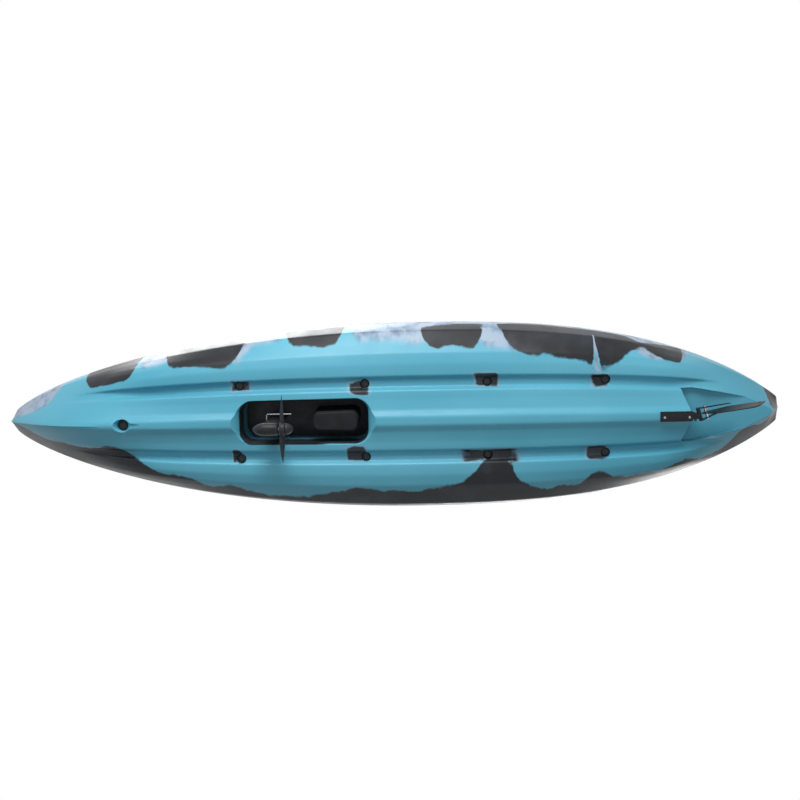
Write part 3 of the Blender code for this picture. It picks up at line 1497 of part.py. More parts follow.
def fork_gap(aft):
    """Half of the space between the cheeks, at a distance aft of the pin."""
    share = (aft - FORK_BAR) / (FORK_LENGTH - FORK_BAR)
    wide = FORK_HALF - FORK_PLATE
    narrow = BLADE_THICKNESS / 2 + 0.004
    return wide + (narrow - wide) * share


def make_fork():
    axis = rudder_axis()
    low = hub_low()
    top = hub_top()
    hub = rod("rudder_fork", (axis.x, 0, low), (axis.x, 0, top), LUG_RADIUS, "black_plastic", 20)
    cheek_low = low + 0.006
    cheek_top = top - 0.006
    fuse(hub, block("bar", (axis.x - FORK_BAR - 0.006, -FORK_HALF, cheek_low),
                    (axis.x - FORK_BAR + 0.006, FORK_HALF, cheek_top), "black_plastic"))
    for side in (1, -1):
        rings = []
        for aft in (FORK_BAR + 0.001, FORK_LENGTH):
            inner = side * fork_gap(aft)
            outer = side * (fork_gap(aft) + FORK_PLATE)
            shrink = 0.0 if aft < FORK_LENGTH else 0.008
            x = axis.x - aft
            rings.append([(x, inner, cheek_low + shrink), (x, outer, cheek_low + shrink),
                          (x, outer, cheek_top - shrink), (x, inner, cheek_top - shrink)])
        fuse(hub, loft("cheek", rings, "black_plastic"))
    cut(hub, rod("bore", (axis.x, 0, low - 0.01), (axis.x, 0, top + 0.01), RUDDER_PIN_RADIUS + GAP,
                 "black_plastic", 12))
    pivot = blade_pivot()
    span = Vector((0, FORK_HALF * 2, 0))
    cut(hub, rod("bore", pivot - span, pivot + span, BLADE_BOLT_RADIUS + GAP, "black_plastic", 12))
    return turn_rudder(smooth(hub))


def blade_pivot():
    axis = rudder_axis()
    return Vector((axis.x - BLADE_BOLT_AFT, 0, (hub_low() + hub_top()) / 2))


def make_rudder_blade():
    along = Vector((-math.cos(RUDDER_RAKE), 0, -math.sin(RUDDER_RAKE)))
    across = Vector((-math.sin(RUDDER_RAKE), 0, math.cos(RUDDER_RAKE)))
    half = BLADE_CHORD / 2
    end = BLADE_LENGTH - 0.022
    outline = [(-0.018, 0.012), (0.045, half * 0.70), (0.085, half), (end - 0.022, half * 0.95),
               (end - 0.005, half * 0.80), (end, half * 0.55), (end, -half * 0.50), (end - 0.006, -half * 0.78),
               (end - 0.024, -half * 0.92), (0.085, -half), (0.045, -half * 0.70), (-0.018, -0.012)]
    pivot = blade_pivot()
    rings = []
    for side in (-1, 1):
        ring = []
        for u, v in outline:
            point = pivot + along * u + across * v
            ring.append((point.x, side * BLADE_THICKNESS / 2, point.z))
        rings.append(ring)
    blade = loft("rudder_blade", rings, "black_plastic")
    span = Vector((0, 0.02, 0))
    cut(blade, rod("bore", pivot - span, pivot + span, BLADE_BOLT_RADIUS + GAP, "black_plastic", 12))
    hole = pivot + along * (end - 0.018) + across * (half * 0.3)
    cut(blade, rod("hole", hole - span, hole + span, 0.005, "black_plastic", 12))
    return turn_rudder(blade)


def make_blade_bolt():
    """The kick-up bolt, and a spacer on each side that centres the blade between the cheeks."""
    pivot = blade_pivot()
    reach = fork_gap(BLADE_BOLT_AFT) + FORK_PLATE + 0.0025
    shank = Vector((0, reach, 0))
    bolt = rod("blade_bolt", pivot - shank, pivot + shank, BLADE_BOLT_RADIUS, "steel", 12)
    for side in (1, -1):
        start = pivot + Vector((0, side * reach, 0))
        fuse(bolt, rod("head", start - Vector((0, side * 0.0005, 0)), start + Vector((0, side * 0.004, 0)),
                       0.007, "steel", 6))
        start = pivot + Vector((0, side * (BLADE_THICKNESS / 2 + GAP), 0))
        end = pivot + Vector((0, side * (fork_gap(BLADE_BOLT_AFT + 0.007) - GAP), 0))
        fuse(bolt, rod("spacer", start, end, 0.007, "steel", ROUND))
    return turn_rudder(smooth(bolt))


def gland_place():
    return (TRANSOM_X, -GLAND_Y, GLAND_HEIGHT)


def make_cable_gland():
    x, y, z = gland_place()
    bore = CABLE_RADIUS + GAP
    return smooth(ring_part("cable_gland", (x - GAP, y, z), (x - 0.010, y, z), 0.0055, bore, "black_plastic", 12))


def make_steering_cable():
    """The lever's cable runs inside the hull, from under the lever to the gland in the transom."""
    x, y, z = gland_place()
    route = [(x - 0.012, y, z), (x + 0.014, y, z), (x + 0.03, y, z), (x + 0.14, y + 0.03, z + 0.03),
             (-0.95, 0.06, 0.105), (-0.72, 0.22, 0.105), (-0.60, LEVER_Y - 0.043, 0.118), (-0.46, LEVER_Y - 0.003, 0.185),
             (-0.10, LEVER_Y + 0.002, 0.195), (LEVER_X - 0.12, LEVER_Y + 0.002, 0.205),
             (LEVER_X - 0.015, LEVER_Y, 0.245), (LEVER_X, LEVER_Y, DECK_HEIGHT - 0.02),
             (LEVER_X, LEVER_Y, DECK_HEIGHT + 0.001)]
    return smooth(tube("steering_cable", curve_through(route, 2), CABLE_RADIUS, "rubber", sides=6), 60)


def make_steering_lever():
    base_z = DECK_HEIGHT + GAP
    cup = CABLE_RADIUS + 0.0015
    base = turned("lever_base", (LEVER_X, LEVER_Y, base_z), (0, 0, 1),
                  ((0, cup), (0, LEVER_BASE), (0.006, LEVER_BASE), (0.010, LEVER_BASE - 0.005),
                   (0.010, cup)), "black_plastic", 16, bore=True)
    low = base_z + 0.010 + RUNNING_GAP
    lever = turned("steering_lever", (LEVER_X, LEVER_Y, low), (0, 0, 1),
                   ((0, 0.014), (0.008, 0.014), (0.011, 0.010)), "black_plastic", 20)
    tip = LEVER_X + LEVER_LENGTH
    arm = block("arm", (LEVER_X, LEVER_Y - 0.006, low + 0.002), (tip, LEVER_Y + 0.006, low + 0.008),
                "black_plastic", bevel=0.0015, segments=1)
    fuse(lever, arm)
    knob = turned("knob", (tip - 0.008, LEVER_Y, low + 0.007), (0, 0, 1),
                  ((0, 0.005), (0.012, 0.006), (0.017, 0.011), (0.027, 0.0125), (0.034, 0.007)), "rubber", 14)
    centre = Vector((LEVER_X, LEVER_Y, 0))
    turn = Matrix.Translation(centre) @ Matrix.Rotation(-RUDDER_DEFLECTION, 4, "Z") @ Matrix.Translation(-centre)
    fuse(lever, knob).data.transform(turn)
    smooth(base)
    return smooth(lever)


# Seat

def make_seat_frame():
    z = SEAT_HEIGHT
    corner = 0.04
    aft, fore, half = SEAT_AFT_X, SEAT_FORE_X, SEAT_HALF
    outline = rounded_outline(rectangle(aft, fore, half, half), corner, 0.0, 3)
    frame = tube("seat_frame", [(x, y, z) for x, y in outline], SEAT_TUBE, "aluminium", 8, closed=True)
    foot = COCKPIT_FLOOR + GAP
    for x in (aft + SEAT_LEG_INSET, fore - SEAT_LEG_INSET):
        for side in (1, -1):
            fuse(frame, rod("leg", (x, side * half, foot), (x, side * half, z), SEAT_TUBE * 0.9,
                            "aluminium", 10))
    return smooth(frame)


def make_seat_runner(name, side):
    """A rubber runner on the cockpit's floor, with a socket for each leg of one side."""
    y = side * SEAT_HALF
    low = COCKPIT_FLOOR + GAP
    legs = (SEAT_AFT_X + SEAT_LEG_INSET, SEAT_FORE_X - SEAT_LEG_INSET)
    runner = block(name, (legs[0] - RUNNER_END, y - RUNNER_HALF, low),
                   (legs[1] + RUNNER_END, y + RUNNER_HALF, low + RUNNER_HEIGHT), "rubber")
    for x in legs:
        cut(runner, rod("socket", (x, y, low - 0.01), (x, y, low + 0.05), SEAT_TUBE * 0.9 + GAP, "rubber", 10))
    return runner


def make_cushion(name, length, width, thickness, place_point):
    """A crowned pad with sides drawn in between its corners and two sewn channels."""
    rows, columns = 13, 9
    def half_plan(u, v):
        draw_x = 1 - 0.035 * (1 - v * v)
        draw_y = 1 - 0.045 * (1 - u * u)
        return u * length / 2 * draw_x, v * width / 2 * draw_y
    bm = bmesh.new()
    layers = []
    for side in (1, -1):
        layer = []
        for i in range(rows):
            row = []
            for j in range(columns):
                u = -1 + 2 * i / (rows - 1)
                v = -1 + 2 * j / (columns - 1)
                x, y = half_plan(u, v)
                swell = ((1 - u ** 6) * (1 - v ** 6)) ** 0.5
                height = thickness * (0.16 + 0.84 * swell)
                if side > 0:
                    for channel in (-0.36, 0.36):
                        height -= thickness * 0.22 * math.exp(-((u - channel) / 0.075) ** 2) * swell
                row.append((x, y, height if side > 0 else 0.0))
            layer.append(row)
        layers.append(layer)
    verts = [[[bm.verts.new(place_point(*point)) for point in row] for row in layer] for layer in layers]
    for layer in verts:
        for i in range(rows - 1):
            for j in range(columns - 1):
                bm.faces.new((layer[i][j], layer[i + 1][j], layer[i + 1][j + 1], layer[i][j + 1]))
    edge = [(i, 0) for i in range(rows)] + [(rows - 1, j) for j in range(1, columns)]
    edge += [(i, columns - 1) for i in range(rows - 2, -1, -1)] + [(0, j) for j in range(columns - 2, 0, -1)]
    for (i, j), (k, m) in zip(edge, edge[1:] + edge[:1]):
        bm.faces.new((verts[0][i][j], verts[0][k][m], verts[1][k][m], verts[1][i][j]))
    return smooth(place(name, bm, "fabric"), 60)


def make_seat_cushion():
    middle = (SEAT_AFT_X + SEAT_FORE_X) / 2
    base = SEAT_HEIGHT + flat_of(SEAT_TUBE) + GAP
    length = SEAT_FORE_X - SEAT_AFT_X + SEAT_TUBE
    width = 2 * SEAT_HALF - 0.030
    return make_cushion("seat_cushion", length, width, CUSHION_THICKNESS,
                        lambda x, y, z: (middle + x, y, base + z))


def back_direction():
    up = Vector((-math.sin(BACK_RECLINE), 0, math.cos(BACK_RECLINE)))
    ahead = Vector((math.cos(BACK_RECLINE), 0, math.sin(BACK_RECLINE)))
    return up, ahead


def back_pivot():
    return Vector((BACK_PIVOT_X, 0, BACK_PIVOT_Z))


def hinge_plate_near():
    return SEAT_HALF + flat_of(SEAT_TUBE) + GAP


def back_half():
    return hinge_plate_near() + HINGE_PLATE + BACK_TUBE + RUNNING_GAP


def make_seat_back():
    up, ahead = back_direction()
    pivot = back_pivot()
    half = back_half()
    points = []
    for y, rise in ((half, -0.012), (half, 0.10), (half, BACK_LENGTH - 0.05), (half - 0.015, BACK_LENGTH - 0.015),
                    (half - 0.05, BACK_LENGTH)):
        points.append(pivot + up * rise + Vector((0, y, 0)))
    mirrored = [Vector((point.x, -point.y, point.z)) for point in points[::-1]]
    frame = tube("seat_back_frame", points + mirrored, BACK_TUBE, "aluminium", 8)
    bar = pivot + up * 0.13
    fuse(frame, rod("bar", bar - Vector((0, half, 0)), bar + Vector((0, half, 0)), BACK_TUBE * 0.8,
                    "aluminium", 8))
    reach = Vector((0, half + 0.05, 0))
    cut(frame, rod("bore", pivot - reach, pivot + reach, HINGE_BOLT + RUNNING_GAP, "aluminium", 12))
    low = 0.105
    high = BACK_LENGTH - 0.005
    middle = pivot + up * (low + high) / 2 + ahead * (flat_of(BACK_TUBE) + 2 * GAP)
    cushion = make_cushion("seat_back_cushion", high - low, 2 * half - 0.04, CUSHION_THICKNESS,
                           lambda x, y, z: middle + up * x + Vector((0, y, 0)) + ahead * z)
    return smooth(frame), cushion


def make_seat_hinge(name, side):
    """A plate clamped to the seat frame's side tube, with the bolt that the back turns on."""
    near = hinge_plate_near()
    far = near + HINGE_PLATE
    z = SEAT_HEIGHT
    pivot = back_pivot()
    outline = [(SEAT_AFT_X + 0.10, z - 0.012), (SEAT_AFT_X + 0.10, z + 0.012), (pivot.x + 0.016, pivot.z + 0.010),
               (pivot.x, pivot.z + 0.016), (pivot.x - 0.014, pivot.z + 0.006), (pivot.x - 0.012, pivot.z - 0.014),
               (SEAT_AFT_X + 0.02, z - 0.012)]
    plate = side_loft(name, outline, side * near, side * far, "aluminium")
    start = pivot + Vector((0, side * near, 0))
    length = back_half() + BACK_TUBE + RUNNING_GAP - near
    profile = ((-0.003, 0.006), (HEAD_SINK, 0.006), (HEAD_SINK, HINGE_BOLT), (length, HINGE_BOLT), (length, 0.007),
               (length + 0.004, 0.006))
    fuse(plate, turned("bolt", start, (0, side, 0), profile, "steel", 8))
    return smooth(plate)


# Assembly

def hinge_at(pieces, place_point):
    """Put the origin of each moving piece on its joint's axis."""
    point = Vector(place_point)
    for made in pieces:
        made.data.transform(Matrix.Translation(-point))
        made.location = point


def make_fixed_parts():
    smooth(merge_flat_faces(drill(make_hull())))
    make_end_handle("bow_handle", BOW_HANDLE_X)
    make_end_handle("stern_handle", STERN_HANDLE_X)
    for word, side in SIDES:
        make_gear_rail("gear_rail_" + word, side)
        make_rod_holder("rod_holder_" + word, side)
        make_side_handle_bracket("side_handle_bracket_" + word, side)
        make_bungee_strip("bungee_strip_" + word, side)
        make_seat_runner("seat_runner_" + word, side)
        make_seat_hinge("seat_hinge_" + word, side)
    make_bungee_cord()
    make_drain_plug()
    make_seat_frame()
    make_seat_cushion()
    make_steering_cable()
    make_cable_gland()


def make_drive():
    make_drive_base()
    make_leg()
    make_pod()
    make_bearings()
    make_fairing()
    make_stay_rod()
    crank = [make_crank_axle(), make_crank_gear()]
    for word, side in SIDES:
        make_case("gearcase_" + word, side)
        crank.append(make_crank_arm("crank_arm_" + word, side))
        hinge_at([make_pedal("pedal_" + word, side)], pedal_centre(side))
    hinge_at(crank, crank_centre())
    hinge_at([make_drive_shaft()], (DRIVE_X, 0, -PROP_DEPTH))
    hinge_at(make_prop_train(), prop_centre())
    hinge_at([make_drive_latch()], latch_pivot())


def make_rudder():
    make_rudder_bracket()
    hinge_at([make_fork(), make_tiller(), make_blade_bolt()], rudder_axis())
    blade = make_rudder_blade()
    turn = Matrix.Rotation(-RUDDER_DEFLECTION, 4, "Z")
    hinge_at([blade], rudder_axis() + turn @ (blade_pivot() - rudder_axis()))
    hinge_at([make_steering_lever()], (LEVER_X, LEVER_Y, DECK_HEIGHT))


def make_moving_fittings():
    hinge_at(make_seat_back(), back_pivot())
    hinge_at([make_bow_hatch()], hatch_pivot())
    hinge_at([make_round_hatch()], (ROUND_HATCH_X, 0, COCKPIT_FLOOR))
    for word, side in SIDES:
        handle = make_side_handle("side_handle_" + word, side)
        hinge_at([handle], (BAIL_X, side * BAIL_PIVOT_Y, DECK_HEIGHT + BAIL_PIVOT_RISE))
    bpy.context.view_layer.update()


clear_scene()
make_fixed_parts()
make_drive()
make_rudder()
make_moving_fittings()
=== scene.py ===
from math import atan2, cos, exp, hypot, pi, radians, sin, tan, tau

import bmesh
import bpy
from mathutils import Matrix, Vector


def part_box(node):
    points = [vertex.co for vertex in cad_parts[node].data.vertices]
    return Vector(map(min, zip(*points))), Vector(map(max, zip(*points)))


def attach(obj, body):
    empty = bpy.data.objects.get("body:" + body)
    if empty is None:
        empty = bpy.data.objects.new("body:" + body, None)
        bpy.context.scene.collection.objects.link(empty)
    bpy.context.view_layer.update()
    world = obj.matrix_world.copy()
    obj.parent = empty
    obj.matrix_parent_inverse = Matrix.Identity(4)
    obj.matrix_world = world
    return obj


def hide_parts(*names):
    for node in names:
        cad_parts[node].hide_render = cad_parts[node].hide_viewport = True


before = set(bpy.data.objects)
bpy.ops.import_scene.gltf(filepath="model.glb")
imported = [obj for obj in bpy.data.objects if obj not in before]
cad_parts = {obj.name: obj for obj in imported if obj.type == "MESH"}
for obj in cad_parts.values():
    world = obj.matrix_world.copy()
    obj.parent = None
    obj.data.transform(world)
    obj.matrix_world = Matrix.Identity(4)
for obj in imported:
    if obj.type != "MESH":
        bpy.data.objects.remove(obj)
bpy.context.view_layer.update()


# Camera
# It looks up at the hull's bottom from five metres below, a little from the port side, with a
# small roll.

CAMERA_PLACE = Vector((-0.0207, 0.62, -4.973))
CAMERA_AIM = Vector((-0.0207, 0.097, 0.0))
CAMERA_ROLL = radians(1.02)
CAMERA_LENS = 49.9


def in_scene(name, data):
    """Puts a new object in the scene."""
    made = bpy.data.objects.new(name, data)
    bpy.context.scene.collection.objects.link(made)
    return made


ahead = (CAMERA_AIM - CAMERA_PLACE).normalized()
above = Vector((0, 1, 0))
above = (above - ahead * above.dot(ahead)).normalized()
right = ahead.cross(above)
roll = Matrix.Rotation(CAMERA_ROLL, 3, ahead)
camera_data = bpy.data.cameras.new("camera")
camera_data.lens = CAMERA_LENS
camera = in_scene("camera", camera_data)
axes = Matrix((roll @ right, roll @ above, -ahead)).transposed()
camera.matrix_world = Matrix.Translation(CAMERA_PLACE) @ axes.to_4x4()
bpy.context.scene.camera = camera
bpy.context.scene.view_settings.view_transform = "Standard"


# Bungee cord
# One black elastic cord is laced through six eyes beside the rear well. It has a braided cover
# and a knot at each end.

DECK = 0.3
CORD_RADIUS = 0.003
CORD_BEND = 0.016
CORD_COLOUR = (0.028, 0.029, 0.034)
CORD_FLECK = (0.16, 0.3, 0.33)


def new_finish(name, colour, roughness, metallic=0.0):
    """A finish, with its shader and its place on the object."""
    finish = bpy.data.materials.new(name)
    finish.use_nodes = True
    shader = finish.node_tree.nodes["Principled BSDF"]
    shader.inputs["Base Color"].default_value = (*colour, 1)
    shader.inputs["Roughness"].default_value = roughness
    shader.inputs["Metallic"].default_value = metallic
    place = finish.node_tree.nodes.new("ShaderNodeTexCoord").outputs["Object"]
    return finish, shader, place


def wired(node, name, value):
    """Joins a value to a node's input."""
    node.id_data.links.new(value, node.inputs[name])


def node_with(near, kind, inputs, **settings):
    """Adds one node to the tree of another, sets it and joins its inputs."""
    made = near.id_data.nodes.new(kind)
    for name, value in settings.items():
        setattr(made, name, value)
    for key, value in inputs.items():
        if isinstance(value, bpy.types.NodeSocket):
            wired(made, key, value)
        else:
            made.inputs[key].default_value = value
    return made


def maths(operation, *values):
    """One step of arithmetic on patterns."""
    near = next(value for value in values if isinstance(value, bpy.types.NodeSocket))
    return node_with(near, "ShaderNodeMath", dict(enumerate(values)),
                     operation=operation).outputs[0]


def grain(place, scale, detail=3.0, stretch=(1, 1, 1)):
    """A soft random pattern from 0 to 1, drawn out along an axis by the stretch."""
    mapped = node_with(place, "ShaderNodeMapping", {"Vector": place, "Scale": stretch}).outputs[0]
    inputs = {"Vector": mapped, "Scale": scale, "Detail": detail}
    return node_with(place, "ShaderNodeTexNoise", inputs).outputs[0]


def blended(share, first, second):
    """A colour between two others. Each is a plain colour or a socket."""
    ends = [end if isinstance(end, bpy.types.NodeSocket) else (*end, 1) for end in (first, second)]
    inputs = {0: share, 6: ends[0], 7: ends[1]}
    return node_with(share, "ShaderNodeMix", inputs, data_type="RGBA").outputs[2]


def ramp(value, low, high, bottom=0.0, top=1.0):
    """Maps a value between two limits smoothly to the range from bottom to top."""
    inputs = {"Value": value, "From Min": low, "From Max": high, "To Min": bottom, "To Max": top}
    return node_with(value, "ShaderNodeMapRange", inputs,
                     interpolation_type="SMOOTHSTEP").outputs[0]


def embossed(shader, height, depth):
    """Raises the surface by a pattern. The depth is in metres."""
    bump = node_with(shader, "ShaderNodeBump",
                     {"Height": height, "Strength": 1.0, "Distance": depth})
    wired(shader, "Normal", bump.outputs[0])


def threads(place, turned_by, scale, distortion=0.0):
    """Rows of threads side by side, turned by three angles in degrees."""
    turn = {"Vector": place, "Rotation": tuple(radians(angle) for angle in turned_by)}
    leaned = node_with(place, "ShaderNodeMapping", turn).outputs[0]
    inputs = {"Vector": leaned, "Scale": scale, "Distortion": distortion}
    return node_with(place, "ShaderNodeTexWave", inputs, wave_profile="SIN").outputs["Fac"]


def braided_cover():
    """Two sets of strands that cross, with a pale fleck."""
    finish, shader, place = new_finish("braided_cord", CORD_COLOUR, 0.75)
    weave = maths("MULTIPLY", threads(place, (0, 0, 45), 190), threads(place, (0, 0, -45), 190))
    fleck = ramp(grain(place, 260, 1), 0.63, 0.67)
    colour = blended(fleck, CORD_COLOUR, CORD_FLECK)
    wired(shader, "Base Color", colour)
    embossed(shader, weave, 0.0006)
    return finish


def plain_mesh(name, made):
    """Turns a finished bmesh into a mesh with its faces outwards."""
    bmesh.ops.recalc_face_normals(made, faces=made.faces[:])
    data = bpy.data.meshes.new(name)
    made.to_mesh(data)
    made.free()
    return data


def mesh_of(name, made, smooth_below=40):
    """A smooth mesh that keeps the edges sharper than an angle."""
    data = plain_mesh(name, made)
    data.shade_smooth()
    data.set_sharp_from_angle(angle=radians(smooth_below))
    return data


def placed(name, shape, finish, body, cad_node=None, smooth_below=40):
    """Puts a finished shape in the scene, on its body and for its CAD node."""
    data = mesh_of(name, shape, smooth_below) if isinstance(shape, bmesh.types.BMesh) else shape
    piece = in_scene(name, data)
    data.materials.append(finish)
    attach(piece, body)
    if cad_node:
        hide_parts(cad_node)
    return piece


def bent_tube(name, points, radius, closed=False):
    """A round tube along a line, as a curve."""
    curve = bpy.data.curves.new(name, "CURVE")
    curve.dimensions = "3D"
    curve.bevel_depth = radius
    curve.bevel_resolution = 5
    curve.use_fill_caps = True
    spline = curve.splines.new("POLY")
    spline.points.add(len(points) - 1)
    for point, made in zip(points, spline.points):
        made.co = (*point, 1)
    spline.use_cyclic_u = closed
    spline.use_smooth = True
    return curve


def bowed(start, corner, end, shares):
    """Places on a curve between two points that leans to a corner."""
    return [start * (1 - t) ** 2 + corner * 2 * t * (1 - t) + end * t ** 2 for t in shares]


def filleted(points, radius, steps=6, closed=False):
    """Rounds the corners of a line of points."""
    path = [Vector(point) for point in points]
    count = len(path)
    result = []
    for i, corner in enumerate(path):
        if not closed and i in (0, count - 1):
            result.append(corner)
            continue
        before = path[i - 1] - corner
        after = path[(i + 1) % count] - corner
        reach = min(radius, before.length * 0.49, after.length * 0.49)
        start = corner + before.normalized() * reach
        end = corner + after.normalized() * reach
        result += bowed(start, corner, end, (step / steps for step in range(steps + 1)))
    return result


port_eyes = ((-0.758, 0.313, 0.307), (-1.038, 0.258, 0.3078), (-1.318, 0.2085, 0.3165))
CORD_SEATS = [Vector((x, side * y, z)) for x, y, z in port_eyes for side in (1, -1)]
along_eye = Vector((0.0165, 0, 0))
route = [CORD_SEATS[0] + along_eye, CORD_SEATS[0], CORD_SEATS[0] - along_eye]
lacing = ((3, -1, 0.006), (4, -1, 0.006), (5, 1, 0.006), (2, 1, 0.014), (1, 1, 0.014))
for index, onward, hump in lacing:
    last = route[-1]
    seat = CORD_SEATS[index]
    arrival = seat - along_eye * onward
    for share, rise in ((0.12, 0.006), (0.5, hump), (0.88, 0.006)):
        route.append(last.lerp(arrival, share) + Vector((0, 0, rise)))
    route += [arrival, seat, seat + along_eye * onward]
cord_line = filleted(route, CORD_BEND)
cord_finish = braided_cover()
bungee = placed("bungee_cord_laced", bent_tube("bungee_cord_laced", cord_line, CORD_RADIUS),
                cord_finish, "hull", "bungee_cord")


def facing(place, direction):
    """A place whose own height runs along a direction."""
    turned = Vector(direction).to_track_quat("Z", "Y").to_matrix().to_4x4()
    return Matrix.Translation(place) @ turned


def spun(mesh, start, direction, profile, steps=48, bore=False):
    """Turns a profile of (distance, radius) pairs about the line from start. Its ends close on the
    line, or on each other with a bore."""
    if not bore:
        profile = dict.fromkeys(((profile[0][0], 0), *profile, (profile[-1][0], 0)))
    made = [mesh.verts.new((radius, 0, along)) for along, radius in profile]
    pairs = list(zip(made, made[1:])) + ([(made[-1], made[0])] if bore else [])
    edges = [mesh.edges.new(pair) for pair in pairs]
    known = set(mesh.verts) - set(made)
    bmesh.ops.spin(mesh, geom=made + edges, cent=(0, 0, 0), axis=(0, 0, 1), dvec=(0, 0, 0),
                   angle=tau, steps=steps, use_merge=True, use_duplicate=False)
    fresh = [vert for vert in mesh.verts if vert not in known]
    bmesh.ops.remove_doubles(mesh, verts=fresh, dist=1e-6)
    fresh = [vert for vert in mesh.verts if vert not in known]
    bmesh.ops.transform(mesh, matrix=facing(start, direction), verts=fresh)
    return fresh


knots = bmesh.new()
for seat in CORD_SEATS[:2]:
    spun(knots, seat + along_eye, (1, 0, 0),
         ((-0.006, 0.0022), (-0.004, 0.005), (0, 0.006), (0.004, 0.005), (0.006, 0.0022)), 16)
cord_knots = placed("bungee_knots", knots, cord_finish, "hull", smooth_below=80)


# Studio
# A pale floor under the boat and a white surround. Soft lamps stand over it and under it,
# because the photograph looks up at the bottom. The floor is seen from its top side only.

FLOOR_HEIGHT = -0.352
FLOOR_REACH = 14
FLOOR_COLOUR = (0.82, 0.83, 0.84)
FLOOR_GLOW = 0.4
SURROUND = (0.93, 0.96, 1.0)
SURROUND_LIGHT = 0.2
LAMPS = (
    ("key_below", (0.5, 3.9, -2.3), 2.4, 205, 0.8),
    ("fill_below", (-0.4, 0.2, -4.4), 3.4, 26, 0.1),
    ("key_above", (1.4, 2.4, 3.4), 2.4, 120, 0.3),
    ("fill_above", (-1.8, -2.6, 3.0), 2.8, 75, 0.15),
)

for name, spot, size, power, shine in LAMPS:
    lamp_data = bpy.data.lights.new(name, "AREA")
    lamp_data.size = size
    lamp_data.energy = power
    lamp_data.specular_factor = shine
    in_scene(name, lamp_data).matrix_world = facing(spot, spot)

surround = bpy.data.worlds.new("surround")
surround.use_nodes = True
bpy.context.scene.world = surround
background = surround.node_tree.nodes["Background"]
seen = node_with(background, "ShaderNodeLightPath", {})
shown = maths("MAXIMUM", seen.outputs["Is Camera Ray"], seen.outputs["Is Transmission Ray"])
shown = maths("MAXIMUM", shown, seen.outputs["Is Glossy Ray"])
wired(background, "Color", blended(shown, SURROUND, (1, 1, 1)))
wired(background, "Strength", ramp(shown, 0.0, 1.0, SURROUND_LIGHT, 1.0))

floor_finish, shader, place = new_finish("studio_floor", FLOOR_COLOUR, 0.9)
shader.inputs["Specular IOR Level"].default_value = 0.1
shader.inputs["Emission Color"].default_value = (1, 1, 1, 1)
shader.inputs["Emission Strength"].default_value = FLOOR_GLOW
underside = node_with(shader, "ShaderNodeNewGeometry", {}).outputs["Backfacing"]
path = node_with(shader, "ShaderNodeLightPath", {})
rays = maths("MAXIMUM", path.outputs["Is Shadow Ray"], path.outputs["Is Diffuse Ray"])
open_side = maths("MAXIMUM", underside, rays)
clear = node_with(shader, "ShaderNodeBsdfTransparent", {})
layers = {0: open_side, 1: shader.outputs[0], 2: clear.outputs[0]}
both = node_with(shader, "ShaderNodeMixShader", layers)
wired(floor_finish.node_tree.nodes["Material Output"], "Surface", both.outputs[0])
floor = bmesh.new()
bmesh.ops.create_grid(floor, x_segments=1, y_segments=1, size=FLOOR_REACH)
bmesh.ops.translate(floor, vec=(0, 0, FLOOR_HEIGHT), verts=floor.verts[:])
floor_data = bpy.data.meshes.new("floor")
floor.to_mesh(floor_data)
floor.free()
floor_data.materials.append(floor_finish)
in_scene("floor", floor_data)


# Hull
# One hollow shell of polyethylene, rotomoulded in a camouflage of turquoise, slate and pale
# swirls. The bottom has a keel block, two scupper channels and a stern tunnel. The wells are
# moulded into the deck.

HALF_LENGTH = 1.83
HALF_BEAM = 0.4375
WIDEST_X = -0.121
TIP_HALF = 0.033
TIP_ROUND = 0.02
TRANSOM_X = -1.335
CREASE_X = -1.741
FOREFOOT_X = 1.25
SIDE_HEIGHT = 0.125
CHINE_HALF = 0.405
CHANNEL = 0.063
GUNWALE_ROUND = 0.014
CORNER_EASE = 0.009
UP = (0, 0, 1)
WELL_FOOT = 0.014
STATION_COUNT = 210
TURQUOISE = (0.092, 0.4, 0.54)
TURQUOISE_LIGHT = (0.132, 0.475, 0.625)
SLATE = (0.01, 0.011, 0.014)
SLATE_LIGHT = (0.034, 0.042, 0.052)
LAVENDER = (0.4, 0.48, 0.6)
LAVENDER_DEEP = (0.15, 0.21, 0.32)


def eased(value):
    """Limits a value to 0 to 1 and eases it at both ends."""
    value = min(max(value, 0.0), 1.0)
    return value * value * (3 - 2 * value)


def soft_minimum(a, b):
    """The smaller of two sizes, rounded where they cross."""
    return (a ** -6 + b ** -6) ** (-1 / 6)


def beam_at(x):
    """Half the hull's breadth at a place along it. The two tips are rounded off."""
    if x >= WIDEST_X:
        share = (x - WIDEST_X) / (HALF_LENGTH - WIDEST_X)
        fullness = max(1 - share ** 2, 0.0) ** 0.72
    else:
        share = (WIDEST_X - x) / (HALF_LENGTH + WIDEST_X)
        fullness = max(1 - share ** 2.6, 0.0) ** 0.81
    into_tip = max(abs(x) - (HALF_LENGTH - TIP_ROUND), 0.0) / TIP_ROUND
    return (TIP_HALF + (HALF_BEAM - TIP_HALF) * fullness) * (1 - 0.62 * into_tip ** 2)


def keel_at(x):
    """The height of the bottom's middle, which rises to the bow and over the stern tunnel."""
    if x > FOREFOOT_X:
        return 0.26 * ((x - FOREFOOT_X) / (HALF_LENGTH - FOREFOOT_X)) ** 2.4
    if x < TRANSOM_X:
        share = (TRANSOM_X - x) / (TRANSOM_X + HALF_LENGTH)
        cap = (CREASE_X - x) / (CREASE_X + HALF_LENGTH)
        return 0.175 * share ** 1.6 + 0.13 * max(cap, 0.0) ** 1.2
    return 0.0


